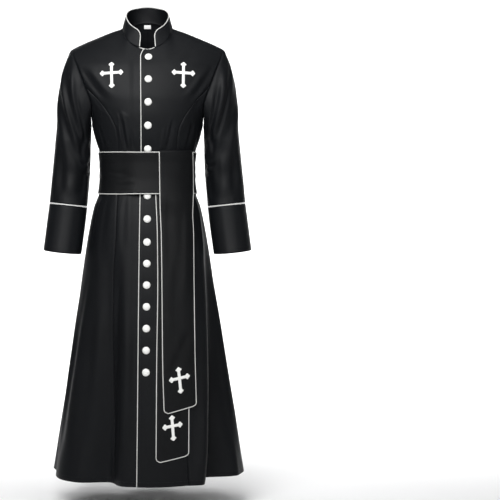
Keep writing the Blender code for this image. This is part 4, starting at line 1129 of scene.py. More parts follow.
@dataclass
class Cloth:
    """A thin sheet of cloth between an outer grid of points and an inner one.

    Attributes:
        name: The object's name.
        outer: The outer points, rows running down.
        thickness: How far in the inner points lie.
        finish: The cloth's finish.
        closed: Whether the rows close on themselves.
        normals: Outward directions, worked out from the grid if left out.
        outward: Rough outward directions for that.
        uvs: UV pairs of the points, their lengths along the cloth if left out.
    """

    name: str
    outer: Array
    thickness: float | Array
    finish: Finish
    closed: bool = False
    normals: Array | None = None
    outward: Array | None = None
    uvs: Array | None = None

    def build(self) -> bpy.types.Object:
        """Make the object.

        Returns:
            The new object.
        """
        normals = self.normals
        if normals is None:
            normals = facing(grid_normals(self.outer, self.closed), self.outward)
        inner = self.outer - normals * np.asarray(self.thickness, float)[..., None]
        rows, columns = self.outer.shape[:2]
        quads, corners = quads_of(rows, columns, self.closed)
        uvs = grid_uvs(self.outer, self.closed) if self.uvs is None else self.uvs
        own = uvs[corners[..., 0], corners[..., 1]]
        faces, maps = [quads, quads[:, ::-1] + rows * columns], [own, own[:, ::-1]]
        for edge, shape in self._rims(quads, own, rows, columns):
            faces.append(edge)
            maps.append(shape)
        vertices = np.concatenate([self.outer.reshape(-1, 3), inner.reshape(-1, 3)])
        faces = np.concatenate(faces)
        made = link_mesh(self.name, vertices, faces, np.concatenate(maps), self.finish)
        if self._volume(vertices, faces) < 0:
            made.data.flip_normals()
        return made

    def _rims(self, quads: Array, own: Array, rows: int, columns: int) -> list:
        """Return the strips that join the two faces along the open edges.

        Args:
            quads: The outer face's quads.
            own: Their corners' UV pairs.
            rows: The number of rows.
            columns: The number of columns.

        Returns:
            The quads and UV pairs of each strip.
        """
        count = rows * columns
        wide = columns if self.closed else columns - 1
        top, first = np.arange(wide), np.arange(rows - 1) * wide
        sides = [(top, 1, 0), (top + (rows - 2) * wide, 3, 2)]
        if not self.closed:
            sides += [(first, 0, 3), (first + wide - 1, 2, 1)]
        strips = []
        for index, a, b in sides:
            start, end = quads[index, a], quads[index, b]
            strip = np.stack([start, end, end + count, start + count], axis=-1)
            strips.append((strip, own[index][:, [a, b, b, a]]))
        return strips

    @staticmethod
    def _volume(vertices: Array, faces: Array) -> float:
        """Return six times the enclosed volume, negative where faces point inwards."""
        a, b, c, d = (vertices[faces[:, k]] for k in range(4))
        return float(np.sum(a * np.cross(b, c)) + np.sum(a * np.cross(c, d)))

    def flat_size(self) -> tuple[float, float, float]:
        """Return the flat width, length and area of the cut, measured on the cloth.

        Returns:
            Width and length in metres, and area in square metres.
        """
        points = self.outer
        if self.closed:
            points = np.concatenate([points, points[:, :1]], axis=1)
        width = float(run_length(points, 1)[:, -1].max())
        length = float(run_length(points, 0)[-1].max())
        across = np.diff(points, axis=1)[:-1]
        down = np.diff(points, axis=0)[:, :-1]
        area = float(np.linalg.norm(np.cross(across, down), axis=-1).sum())
        return width, length, min(area, width * length)

    def make(self, node: str, held: str, rests_on: Sequence[str]) -> None:
        """Make the object in place of the solid that it replaces, and log its flat size.

        Args:
            node: The solid's node.
            held: Not used.
            rests_on: Not used.
        """
        made = self.build()
        place(made, [node])
        width, length, area = self.flat_size()
        size = width / MM, length / MM, area
        log.info("SHEET %s %.0f x %.0f mm, %.4f m2", made.name, *size)


def place(made: bpy.types.Object, nodes: Sequence[str] = ()) -> None:
    """Let an object ride on the robe, in place of the named solids.

    Args:
        made: The object.
        nodes: The solids that it stands for.
    """
    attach(made, "root")
    if nodes:
        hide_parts(*nodes)


@dataclass
class Cord:
    """A round piping cord along a path of points, in place of its node's solid.

    Attributes:
        node: The solid's node.
        path: The cord's middle line.
        closed: Whether it closes on itself.
    """

    node: str
    path: Array
    closed: bool = False

    # The ends' share of the radius, and a direction that no cord starts along
    cap: float = 0.15
    askew: tuple = (0.31, 0.52, 0.79)

    def make(self) -> None:
        """Make the object, with lengths round and along it as its UV map."""
        path = np.asarray(self.path, float)
        if self.closed:
            path = np.concatenate([path, path[:1]])
            ahead = np.roll(path[:-1], -1, axis=0) - np.roll(path[:-1], 1, axis=0)
            along = unit(np.concatenate([ahead, ahead[:1]]))
        else:
            along = unit(np.gradient(path, axis=0))
        points = self._rings(path, along)
        if not self.closed:
            first, last = (points[k] * self.cap + path[k] * (1 - self.cap) for k in (0, -1))
            points = np.concatenate([[first], points, [last]])
        quads, corners = quads_of(len(points), CORD_SIDES, True)
        round_it = np.arange(CORD_SIDES + 1) * 2 * math.pi * CORD_RADIUS / CORD_SIDES
        length = run_length(points.mean(axis=1)[None], 1)[0]
        uvs = np.stack([round_it[corners[..., 1]], length[corners[..., 0]]], axis=-1)
        name = self.node + "_cord"
        place(link_mesh(name, points.reshape(-1, 3), quads, uvs, Finish.PIPING), [self.node])

    def _rings(self, path: Array, along: Array) -> Array:
        """Return a ring of points round each point of a path, without twist.

        Args:
            path: The cord's middle line.
            along: Its direction at each point.

        Returns:
            A ring for each point.
        """
        turns = np.linspace(0, 2 * math.pi, CORD_SIDES, endpoint=False)
        side = unit(np.cross(along[0], self.askew))
        rings = []
        for point, ahead in zip(path, along):
            side = unit(side - ahead * np.dot(side, ahead))
            other = np.cross(ahead, side)
            ring = np.cos(turns)[:, None] * side + np.sin(turns)[:, None] * other
            rings.append(point + CORD_RADIUS * ring)
        return np.array(rings)


# Geometry nodes


def set_vectors(mesh: bpy.types.Mesh, name: str, vectors: Array) -> None:
    """Give a mesh's points a vector each, under a name."""
    layer = mesh.attributes.new(name, "FLOAT_VECTOR", "POINT")
    layer.data.foreach_set("vector", np.asarray(vectors, np.float32).ravel())


class PieceTree:
    """A node tree with named inputs that sets a piece on every point of a guide."""

    def __init__(self, name: str, kinds: dict[str, str]) -> None:
        """Start the tree.

        Args:
            name: The tree's name.
            kinds: Its inputs' names and the kinds of their sockets.
        """
        self.tree = bpy.data.node_groups.new(name, "GeometryNodeTree")
        face = self.tree.interface
        face.new_socket("Geometry", in_out="INPUT", socket_type="NodeSocketGeometry")
        self.sockets = {}
        for key, kind in kinds.items():
            socket = face.new_socket(key, in_out="INPUT", socket_type="NodeSocket" + kind)
            self.sockets[key] = socket.identifier
        face.new_socket("Geometry", in_out="OUTPUT", socket_type="NodeSocketGeometry")
        self.inputs = self.add("NodeGroupInput")

    def add(self, kind: str, values: dict | None = None, **settings) -> bpy.types.NodeOutputs:
        """Add a node and return its outputs."""
        return add_node(self.tree, kind, values, **settings).outputs

    def vectors(self, name: str) -> bpy.types.NodeSocket:
        """Return the points' vectors of this name."""
        kind = "GeometryNodeInputNamedAttribute"
        return self.add(kind, {"Name": name}, data_type="FLOAT_VECTOR")["Attribute"]

    def close(self, points: dict, along: bpy.types.NodeSocket) -> None:
        """Set the piece upright on the points, turned along, as real mesh in its material.

        Args:
            points: The points, the piece and its scale, as inputs of the instancing node.
            along: The direction of the piece's own X axis.
        """
        turn = "FunctionNodeAlignRotationToVector"
        standing = self.add(turn, {"Vector": self.vectors("up")}, axis="Z")["Rotation"]
        aims = {"Rotation": standing, "Vector": along}
        turned = self.add(turn, aims, axis="X", pivot_axis="Z")["Rotation"]
        laid = self.add("GeometryNodeInstanceOnPoints", {**points, "Rotation": turned})
        real = self.add("GeometryNodeRealizeInstances", {"Geometry": laid["Instances"]})
        dress = {"Geometry": real["Geometry"], "Material": self.inputs["Material"]}
        dressed = self.add("GeometryNodeSetMaterial", dress)
        self.add("NodeGroupOutput", {"Geometry": dressed["Geometry"]})

    def run(self, name: str, guide: bpy.types.Mesh, finish: Finish, **values) -> bpy.types.Object:
        """Run the tree on a guide mesh and return what it makes as a plain mesh object.

        Args:
            name: The new object's name.
            guide: The points to set pieces on.
            finish: The pieces' finish.
            **values: Values of the tree's other inputs.

        Returns:
            The new object.
        """
        holder = new_object(guide.name, guide)
        modifier = holder.modifiers.new("pieces", "NODES")
        modifier.node_group = self.tree
        for key, value in {**values, "Material": material_of(finish)}.items():
            modifier[self.sockets[key]] = value
        graph = bpy.context.evaluated_depsgraph_get()
        graph.update()
        mesh = bpy.data.meshes.new_from_object(holder.evaluated_get(graph), depsgraph=graph)
        mesh.name = name
        made = new_object(name, mesh)
        bpy.data.objects.remove(holder)
        mesh.shade_smooth()
        return made


class StitchTree(PieceTree):
    """A node tree that lays stitches of one size along a line of points."""

    def __init__(self) -> None:
        """Build the tree."""
        kinds = {"Pitch": "Float", "Size": "Vector", "Material": "Material"}
        super().__init__("stitches_along_line", kinds)
        curve = self.add("GeometryNodeMeshToCurve", {"Mesh": self.inputs["Geometry"]})
        spaced = {"Curve": curve["Curve"], "Length": self.inputs["Pitch"]}
        evened = self.add("GeometryNodeResampleCurve", spaced, mode="LENGTH")["Curve"]
        sphere = {"Segments": 6, "Rings": 4, "Radius": 1.0}
        bead = self.add("GeometryNodeMeshUVSphere", sphere)["Mesh"]
        points = {"Points": evened, "Instance": bead, "Scale": self.inputs["Size"]}
        self.close(points, self.add("GeometryNodeInputTangent")["Tangent"])

    def lay(self, name: str, lines: Sequence, pitch: float, size: tuple) -> None:
        """Lay thread stitches along lines.

        Args:
            name: The object's name.
            lines: Pairs of a path and the cloth's outward directions along it.
            pitch: Distance from stitch to stitch.
            size: Half length, half width and half height of a stitch.
        """
        vertices, edges, ups = [], [], []
        for path, out in lines:
            start = len(vertices)
            vertices.extend(np.asarray(path).tolist())
            ups.extend(np.asarray(out).tolist())
            edges.extend((start + k, start + k + 1) for k in range(len(path) - 1))
        mesh = bpy.data.meshes.new(name + "_line")
        mesh.from_pydata(vertices, edges, [])
        set_vectors(mesh, "up", ups)
        place(self.run(name, mesh, Finish.THREAD, Pitch=pitch, Size=size))


class InstanceTree(PieceTree):
    """A node tree that sets a piece on every point, turned as the point says."""

    def __init__(self) -> None:
        """Build the tree."""
        super().__init__("pieces_on_points", {"Piece": "Object", "Material": "Material"})
        source = self.add("GeometryNodeObjectInfo", {"Object": self.inputs["Piece"]})
        points = {"Points": self.inputs["Geometry"], "Instance": source["Geometry"]}
        self.close(points, self.vectors("along"))

    def set_on(
        self, name: str, piece: bpy.types.Object, points: Array, up: Array, along: Array
    ) -> bpy.types.Object:
        """Set a button on every point and return them all as one object.

        Args:
            name: The new object's name.
            piece: The button.
            points: Where to set it.
            up: The way its top faces.
            along: The way its own X axis points.

        Returns:
            The new object.
        """
        mesh = bpy.data.meshes.new(name + "_points")
        mesh.from_pydata(np.asarray(points).tolist(), [], [])
        set_vectors(mesh, "up", up)
        set_vectors(mesh, "along", along)
        return self.run(name, mesh, Finish.BUTTON, Piece=piece)


# Panels


def blend_patch(top: Array, bottom: Array, left: Array, right: Array) -> Array:
    """Fill four border curves of angle and height with a smooth patch.

    Args:
        top: The upper border.
        bottom: The lower border.
        left: The first side's border.
        right: The last side's border.

    Returns:
        The patch's grid.
    """
    u = np.linspace(0, 1, len(top))[None, :, None]
    v = np.linspace(0, 1, len(left))[:, None, None]
    ruled_v = (1 - v) * top[None] + v * bottom[None]
    ruled_u = (1 - u) * left[:, None] + u * right[:, None]
    upper = (1 - u) * (1 - v) * top[0] + u * (1 - v) * top[-1]
    return ruled_v + ruled_u - (upper + (1 - u) * v * bottom[0] + u * v * bottom[-1])


@dataclass
class PanelCutter:
    """Cuts the panels' grids of angle and height out of the body form."""

    neck_edge: int = 8
    neck_side: int = 26
    shoulder: int = 34
    side_columns: int = 56
    back_neck: int = 44
    upper_rows: int = 44
    princess_rows: int = 24
    lower_rows: int = 230
    side: float = math.pi / 2
    # How the upper rows widen downwards
    front_spread: float = 1.2
    back_spread: float = 1.15

    def top_border(self, turns: Array, behind: bool) -> Array:
        """Return the neckline and the shoulder seam, from the middle to the tip.

        Args:
            turns: Turns round the neck.
            behind: Whether it is the back's.

        Returns:
            Pairs of angle and height.
        """
        neck = pair(FORM.neck_angle(turns, behind), FORM.neck_height(turns, behind))
        across = np.linspace(NECK_HALF_WIDTH, RIDGE[-1].across, self.shoulder + 1)[1:]
        heights = FORM.ridge(across)
        seam = pair(FORM.angle_at(across, heights, behind), heights)
        seam[-1] = FORM.armhole(0.0, behind)
        return np.concatenate([neck, seam])

    def lower(self, left_at: Callable, right_at: Callable, columns: int) -> Array:
        """Return a panel's rows from the chest to the hem.

        Args:
            left_at: Gives the first side's angle at a height.
            right_at: Gives the last side's.
            columns: The number of columns.

        Returns:
            Pairs of angle and height.
        """
        share = np.linspace(0, 1, columns)
        ends = left_at(HEM_HEIGHT), right_at(HEM_HEIGHT)
        hem = FORM.hem(ends[0] + (ends[1] - ends[0]) * share)
        down = np.linspace(0, 1, self.lower_rows)[:, None]
        heights = CHEST + (hem[None, :] - CHEST) * down
        left, right = left_at(heights[:, :1]), right_at(heights[:, -1:])
        return pair(left + (right - left) * share[None, :], heights)

    def princess(self, height: Array) -> Array:
        """Return the princess seam's angle."""
        return FORM.angle_at(FORM.princess(height), height)

    def side_seam(self, height: Array) -> Array:
        """Return the side seam's angle."""
        return np.full_like(height, self.side)

    def front(self, edge_at: Callable) -> Array:
        """Return a front panel, for the wearer's left side.

        Args:
            edge_at: Gives the front edge's distance from the middle at a height.

        Returns:
            Pairs of angle and height.
        """
        split_angle, split_height = FORM.armhole(ARMHOLE_SPLIT, False)
        corner = -math.asin(float(edge_at(-NECK_FRONT_DROP)) / NECK_HALF_WIDTH)
        end = math.radians(COLLAR_END)
        near = np.linspace(corner, end, self.neck_edge + 1)
        far = np.linspace(end, self.side, self.neck_side + 1)[1:]
        top = self.top_border(np.concatenate([near, far]), False)
        rows = np.linspace(0, 1, self.upper_rows + 1)
        left_heights = top[0, 1] + (split_height - top[0, 1]) * rows**self.front_spread
        left = pair(-FORM.angle_at(edge_at(left_heights), left_heights), left_heights)
        left[0] = top[0]
        right = np.stack(FORM.armhole(ARMHOLE_SPLIT * rows, False), axis=-1)
        columns = len(top)
        bottom = pair(np.linspace(left[-1, 0], split_angle, columns), split_height)
        upper = blend_patch(top, bottom, left, right)
        share = np.linspace(0, 1, columns)[None, :]
        heights = np.linspace(split_height, CHEST, self.princess_rows + 1)[1:-1, None]
        edge = -FORM.angle_at(edge_at(heights), heights)
        middle = pair(edge + (self.princess(heights) - edge) * share, heights)
        lower = self.lower(lambda z: -FORM.angle_at(edge_at(z), z), self.princess, columns)
        return np.concatenate([upper, middle, lower])

    def side_front(self) -> Array:
        """Return a side front panel, for the wearer's left side.

        Returns:
            Pairs of angle and height.
        """
        columns = self.side_columns + 1
        share = np.linspace(0, 1, columns)
        degrees = ARMHOLE_SPLIT + (180 - ARMHOLE_SPLIT) * share
        top = np.stack(FORM.armhole(degrees, False), axis=-1)
        left_heights = np.linspace(top[0, 1], CHEST, self.princess_rows + 1)
        left = pair(self.princess(left_heights), left_heights)
        left[0] = top[0]
        right = pair(self.side, np.linspace(top[-1, 1], CHEST, self.princess_rows + 1))
        bottom = pair(np.linspace(left[-1, 0], self.side, columns), CHEST)
        upper = blend_patch(top, bottom, left, right)
        return np.concatenate([upper[:-1], self.lower(self.princess, self.side_seam, columns)])

    def back(self) -> Array:
        """Return a back panel, for the wearer's left side.

        Returns:
            Pairs of angle and height.
        """
        top = self.top_border(np.linspace(0.0, self.side, self.back_neck + 1), True)
        columns, rows = len(top), self.upper_rows + self.princess_rows
        spread = np.linspace(0, 1, rows + 1) ** self.back_spread
        centre = pair(math.pi, NECK_BACK_RISE + (CHEST - NECK_BACK_RISE) * spread)
        armhole = np.stack(FORM.armhole(180 * np.linspace(0, 1, rows), True), axis=-1)
        right = np.concatenate([armhole, [[self.side, CHEST]]])
        bottom = pair(np.linspace(math.pi, self.side, columns), CHEST)
        upper = blend_patch(top, bottom, centre, right)
        lower = self.lower(lambda z: np.full_like(z, math.pi), self.side_seam, columns)
        return np.concatenate([upper[:-1], lower])


@dataclass
class Bodice:
    """The body's six panels: fronts, side fronts and backs."""

    hem_turn: float = 12.0 * MM
    hem_extra: float = 1.0 * MM
    hem_fade: float = 3.0 * MM
    calm: float = 0.5
    grain_width: float = 0.20
    tuck: float = 0.6 * MM
    relax_below: float = -0.125
    relax_fade: float = 0.035
    pucker_pitch: float = 17.0 * MM

    def __post_init__(self) -> None:
        """Prepare what the piping and the stitching follow."""
        self.cutter = PanelCutter()
        self.fronts: dict[int, Array] = {}
        self.hems: list[tuple[Array, Array]] = []

    def build(self) -> None:
        """Make the panels."""
        edges = {
            1: lambda z: FORM.lap_edge(z) - CORD_SEAT,
            -1: lambda z: np.full_like(np.asarray(z, float), UNDERLAP),
        }
        for side, word in SIDES:
            self._panel(f"front_{word}", self.cutter.front(edges[side]), side)
            self._panel(f"side_front_{word}", self.cutter.side_front(), side)
            self._panel(f"back_{word}", self.cutter.back(), side)

    def _panel(self, name: str, domain: Array, side: int) -> None:
        """Make one panel: the form, its creases, and its seams' soft valleys.

        Args:
            name: The solid's node.
            domain: The panel's angles and heights.
            side: 1 for the wearer's left, -1 for the right.
        """
        is_front = name.startswith("front")
        angle, height = domain[..., 0] * side, domain[..., 1]
        lift = np.zeros_like(angle)
        if is_front and side < 0:
            across = FORM.base(angle, height)[..., 0] * side
            lift = -LAP_DEPTH * (1 - fade((across - LAP_FLAT) / LAP_FADE))
        base = FORM.lifted(angle, height, lift)
        base = relaxed(base, self.calm * fade((height - self.relax_below) / self.relax_fade))
        normals = facing(grid_normals(base), FORM.normal(angle, height))
        points = base + normals * FORM.relief(angle, height)[..., None]
        from_first, from_top = run_length(points, 1), run_length(points, 0)
        from_last, from_hem = from_first[:, -1:] - from_first, from_top[-1:] - from_top
        offset = np.zeros_like(angle)
        edges = [(from_last, from_top, 1), (from_top, from_first, 2)]
        if not is_front:
            edges.append((from_first, from_top, 3))
        for away, along, seed in edges:
            offset = offset - SEAM_SINK * bump_of(away, 0.0, SEAM_HALF_WIDTH)
            waves = ripple(along, seed + len(name) + (side > 0), self.pucker_pitch)
            offset = offset + PUCKER * bump_of(away, PUCKER_START, PUCKER_REACH) * waves
        points = points + normals * offset[..., None]
        doubled = 1 - fade((from_hem - self.hem_turn) / self.hem_fade)
        if is_front:
            self.fronts[side] = points
        self.hems.append(self._stitch_line(points, from_hem))
        uvs = np.stack([angle * self.grain_width, height], axis=-1)
        cloth = Cloth(
            name + "_cloth", self._tucked(points, is_front), CLOTH + self.hem_extra * doubled,
            Finish.ROBE, outward=normals, uvs=uvs,
        )
        cloth.make(name, "hung", ["wearer"])

    def _tucked(self, points: Array, is_front: bool) -> Array:
        """Push a panel's sewn edges a little under its neighbours.

        Args:
            points: A grid of points, its rows running down.
            is_front: Whether its first edge is the free front edge.

        Returns:
            The new grid.
        """
        points = points.copy()
        points[:, -1] += unit(points[:, -1] - points[:, -2]) * self.tuck
        if not is_front:
            points[:, 0] += unit(points[:, 0] - points[:, 1]) * self.tuck
        return points

    def _stitch_line(self, points: Array, from_hem: Array) -> tuple[Array, Array]:
        """Return the line where the hem is sewn, and its outward directions."""
        row = int(np.argmin(np.abs(from_hem[:, 0] - self.hem_turn)))
        out = unit(points[row] * LEVEL)
        return points[row] + out * HEM_STITCH_LIFT, out


# Sleeves


@dataclass
class SleeveForm:
    """One sleeve with its cuff, on one side of the robe."""

    side: int
    word: str
    columns: int = 132
    head_rows: int = 78
    lower_rows: int = 48
    cuff_rows: int = 40
    # The height from which the arm bends forwards, and over how far
    bend_start: float = -0.40
    bend_fade: float = 0.28
    # Ways in which the sleeve leaves the armhole: over it, under it, beside it
    leave_top: tuple = (0.50, 0.0, -0.85)
    leave_under: tuple = (0.10, 0.0, -1.0)
    leave_side: tuple = (0.78, 0.0, -0.55)
    leave_ahead: float = 0.30
    # Gathers below the armhole and above the cuff: depth, pitch, middle, reach
    fullness: tuple = (1.2 * MM, 9 * MM, 8 * MM)
    fullness_degrees: int = 110
    gathers: tuple = (0.5 * MM, 19 * MM, 7 * MM, 11 * MM)
    cuff_gathers: tuple = (0.4 * MM, 23 * MM, 0.0, 14 * MM)
    calm_end: float = 10 * MM
    calm_share: float = 0.25
    crease_widen: float = 0.42
    tuck: float = 0.8 * MM
    # Differences between the two sides' creases
    crease_turn: int = 6
    crease_follow: float = 0.6
    crease_slide: float = 0.03
    crease_deepen: float = 0.15
    cuff_wave: tuple = (0.5 * MM, 46 * MM, 25 * MM)
    end_roll: float = 1.0 * MM
    seam_roll: float = 0.9 * MM
    roll_reach: float = 2.2 * MM
    cord_lift: float = 0.3 * MM

    def __post_init__(self) -> None:
        """Prepare the sleeve's turns and curves."""
        self.turns = np.linspace(0, 2 * math.pi, self.columns, endpoint=False)
        keys = ("across", "forward", "half_width", "half_depth")
        self.curves = [column_curve(SLEEVE + CUFF[1:], "height", key) for key in keys]

    def ring(self, height: float) -> Array:
        """Return one ring round the arm, from the outside forwards.

        Args:
            height: The ring's height.

        Returns:
            The ring's points.
        """
        across, forward, wide, deep = (float(curve(height)) for curve in self.curves)
        lean = np.array([math.cos(SLEEVE_LEAN), 0.0, math.sin(SLEEVE_LEAN)])
        pitch = CUFF_PITCH * float(fade((self.bend_start - height) / self.bend_fade))
        ahead = np.array([0.0, -math.cos(pitch), math.sin(pitch)])
        level = wide * np.cos(self.turns)[:, None] * lean
        points = np.array([across, forward, height]) + level
        points = points + deep * np.sin(self.turns)[:, None] * ahead
        points[:, 0] *= self.side
        return points

    def armhole(self) -> tuple[Array, Array]:
        """Return the armhole's edge and the direction in which the sleeve leaves it.

        Returns:
            The edge's points and a direction for each.
        """
        degrees = np.degrees(self.turns)
        behind = degrees > 180
        loop = np.where(behind, 360 - degrees, degrees)
        front, back = FORM.armhole(loop, False), FORM.armhole(loop, True)
        angle = np.where(behind, back[0], front[0]) * self.side
        edge = FORM.creased(angle, np.where(behind, back[1], front[1]))
        turn = np.radians(loop)[:, None]
        level, upright = np.sin(turn) ** 2, np.cos(turn) ** 2
        above = np.cos(turn) > 0
        ahead = np.where(behind, 1.0, -1.0)[:, None] * np.array([0.0, self.leave_ahead, 0.0])
        leave = (
            np.where(above, upright, 0.0) * np.array(self.leave_top)
            + np.where(above, 0.0, upright) * np.array(self.leave_under)
            + level * (np.array(self.leave_side) + ahead)
        )
        leave[:, 0] *= self.side
        return edge, unit(leave)

    def _smooth_grid(self) -> Array:
        """Return the sleeve's points from the armhole to the cuff, without creases.

        Returns:
            The grid.
        """
        first, leave = self.armhole()
        ring = self.ring(SLEEVE[0].height)
        span = np.linalg.norm(ring - first, axis=1, keepdims=True)
        down = np.array([math.sin(SLEEVE_LEAN) * self.side, 0.0, -math.cos(SLEEVE_LEAN)])
        rows = [
            (1 + 2 * t) * (1 - t) ** 2 * first + t * t * (3 - 2 * t) * ring
            + t * (1 - t) ** 2 * leave * span - t * t * (1 - t) * down * span
            for t in np.linspace(0, 1, self.head_rows + 1)[:-1]
        ]
        heights = np.linspace(SLEEVE[0].height, SLEEVE[-1].height, self.lower_rows)
        return np.array(rows + [self.ring(z) for z in heights])

    def grid(self) -> Array:
        """Return the sleeve's points with its creases and gathers.

        Returns:
            The grid.
        """
        points = self._smooth_grid()
        normals = self._outward(points)
        length, around = run_length(points, 0), run_length(points, 1)
        from_end = length[-1:] - length
        degrees = np.degrees(self.turns)[None, :]
        field = CreaseField(self._own_creases(), SLEEVE_DEGREE, self.crease_widen, 360.0)
        offset = field(degrees, length / length[-1:])
        offset = offset - SEAM_SINK * bump_of(length, 0.0, SEAM_HALF_WIDTH)
        depth, middle, reach = self.fullness
        outside = fade(1 - np.abs((degrees + 180) % 360 - 180) / self.fullness_degrees)
        offset = offset + depth * outside * bump_of(length, middle, reach)
        for away, seed, gathers in ((length, 5, self.gathers), (from_end, 9, self.cuff_gathers)):
            depth, pitch, middle, reach = gathers
            waves = ripple(around, seed + self.side, pitch)
            offset = offset + depth * waves * bump_of(away, middle, reach)
        offset = offset * fade(from_end / self.calm_end + self.calm_share)
        points = points + normals * offset[..., None]
        points[0] += unit(points[0] - points[1]) * self.tuck
        return points

    def _own_creases(self) -> list[Crease]:
        """Return the creases, a little different on the two sides.

        Returns:
            The creases.
        """
        random = np.random.default_rng(11 + self.side)
        made = []
        for crease in SLEEVE_CREASES:
            turn = random.uniform(-self.crease_turn, self.crease_turn)
            slide = random.uniform(-self.crease_slide, self.crease_slide)
            own = crease._replace(
                across_0=crease.across_0 + turn,
                across_1=crease.across_1 + turn * self.crease_follow,
                down_0=max(crease.down_0 + slide, 0.01),
                down_1=min(crease.down_1 + slide, 0.99),
                depth=crease.depth * random.uniform(1 - self.crease_deepen, 1 + self.crease_deepen),
            )
            made.append(own)
        return made

    @staticmethod
    def _outward(points: Array) -> Array:
        """Return directions away from the arm's middle line."""
        middle = points.mean(axis=1, keepdims=True)
        return facing(grid_normals(points, closed=True), points - middle)

    def build(self) -> None:
        """Make the sleeve, its cuff and the cord between them."""
        points = self.grid()
        self._tube(f"sleeve_{self.word}", points, CLOTH, f"front_{self.word}_cloth")
        heights = np.linspace(CUFF[0].height, CUFF[-1].height, self.cuff_rows)
        points = np.array([self.ring(z) for z in heights])
        out = self._outward(points)
        length = run_length(points, 0)
        depth, pitch, reach = self.cuff_wave
        wave = depth * ripple(run_length(points, 1), 21 + self.side, pitch)
        roll = -self.end_roll * (1 - fade((length[-1:] - length) / self.roll_reach))
        roll = roll - self.seam_roll * (1 - fade(length / self.roll_reach))
        points = points + out * (wave * fade(length / reach) + roll)[..., None]
        self._tube(f"cuff_{self.word}", points, DOUBLE_CLOTH, f"sleeve_{self.word}_cloth")
        seam = (self.ring(SLEEVE[-1].height) + self.ring(CUFF[0].height)) / 2
        Cord(f"piping_cuff_{self.word}", seam + out[0] * self.cord_lift, closed=True).make()

    def _tube(self, node: str, points: Array, thickness: float, carrier: str) -> None:
        """Make one tube of cloth.

        Args:
            node: The solid's node.
            points: The tube's outer points.
            thickness: The cloth's thickness.
            carrier: What it hangs from.
        """
        out = self._outward(points)
        Cloth(f"{node}_cloth", points, thickness, Finish.ROBE, True, out).make(
            node, "hung", [carrier]
        )


# Collar


@dataclass
class Collar:
    """The standing collar with its piped edge."""

    rows: int = 20
    columns: int = 190
    belly: float = 0.9 * MM
    belly_pitch: float = 90 * MM
    foot_sink: float = 0.9 * MM
    foot_reach: float = 2.5 * MM
    foot_extra: float = 1.2 * MM
    middle_height: float = 0.045

    def __post_init__(self) -> None:
        """Work out the collar's outer points, from its top edge to the neckline."""
        end = math.radians(COLLAR_END)
        turns = np.linspace(end, 2 * math.pi - end, self.columns)
        turns = np.where(turns > math.pi, turns - 2 * math.pi, turns)
        top_height = column_curve(COLLAR_TOP, "degrees", "height")
        columns = [self._column(turn, top_height) for turn in turns]
        points = np.array(columns).transpose(1, 0, 2)
        self.normals = facing(grid_normals(points), points * LEVEL)
        down = np.linspace(0, 1, self.rows + 1)[:, None]
        waves = ripple(run_length(points, 1), 3, self.belly_pitch)
        belly = self.belly * np.sin(math.pi * down) * waves
        foot = self.foot_sink * bump_of((1 - down) * self.middle_height, 0.0, self.foot_reach)
        self.points = points + self.normals * (belly - foot)[..., None]
        self.points[-1] += unit(self.points[-1] - self.points[-2]) * self.foot_extra

    def _column(self, turn: float, top_height: Callable) -> list[Array]:
        """Return the points down the collar at a turn, its front ends rounded.

        Args:
            turn: The turn from the front, in radians.
            top_height: Gives the top edge's height.

        Returns:
            The points.
        """
        base = FORM.neck_point(turn)
        depth = COLLAR_TOP_FRONT if abs(turn) < math.pi / 2 else COLLAR_TOP_BACK
        height = float(top_height(math.degrees(abs(turn))))
        across, ahead = COLLAR_TOP_HALF_WIDTH * math.sin(turn), -depth * math.cos(turn)
        top = np.array([across, ahead, height])
        share = min((math.degrees(abs(turn)) - COLLAR_END) / COLLAR_CORNER, 1.0)
        rounded = math.sqrt(max(1 - (1 - share) ** 2, 0.0))
        top = base + (top - base) * (COLLAR_END_SHARE + (1 - COLLAR_END_SHARE) * rounded)
        return [top + (base - top) * k / self.rows for k in range(self.rows + 1)]

    def build(self) -> None:
        """Make the collar and its cord."""
        grid, out = self.points, self.normals
        cloth = Cloth("collar_cloth", grid, DOUBLE_CLOTH, Finish.ROBE, normals=out)
        cloth.make("collar", "stretched", ["front_left_cloth", "back_left_cloth"])
        edge, ways = (
            np.concatenate([side[1:-1, 0][::-1], side[0], side[1:-1, -1]]) for side in (grid, out)
        )
        path = beside_edge(edge, ways, DOUBLE_CLOTH / 2, grid[1, self.columns // 2])
        Cord("piping_collar", path).make()


def aside_of(edge: Array, out: Array, inward: Array) -> Array:
    """Return directions in the cloth's plane, square to its edge and off the cloth."""
    aside = unit(np.cross(unit(np.gradient(edge, axis=0)), out))
    middle = len(edge) // 2
    return -aside if np.dot(inward - edge[middle], aside[middle]) > 0 else aside


def beside_edge(edge: Array, out: Array, sink: float, inward: Array) -> Array:
    """Return the path of a cord beside a cloth's edge.

    Args:
        edge: The edge's points.
        out: The cloth's outward directions there.
        sink: How far below the cloth's face the cord's middle lies.
        inward: A point of the cloth near the edge's middle.

    Returns:
        The cord's middle line, clear of the cloth.
    """
    base = edge - out * sink
    return base + aside_of(base, out, inward) * CORD_SEAT


def inside_edge(edge: Array, out: Array, distance: float, inward: Array) -> tuple[Array, Array]:
    """Return a stitch line this far inside a cloth's edge, and its directions."""
    return edge - aside_of(edge, out, inward) * distance + out * STITCH_LIFT, out


# Sash


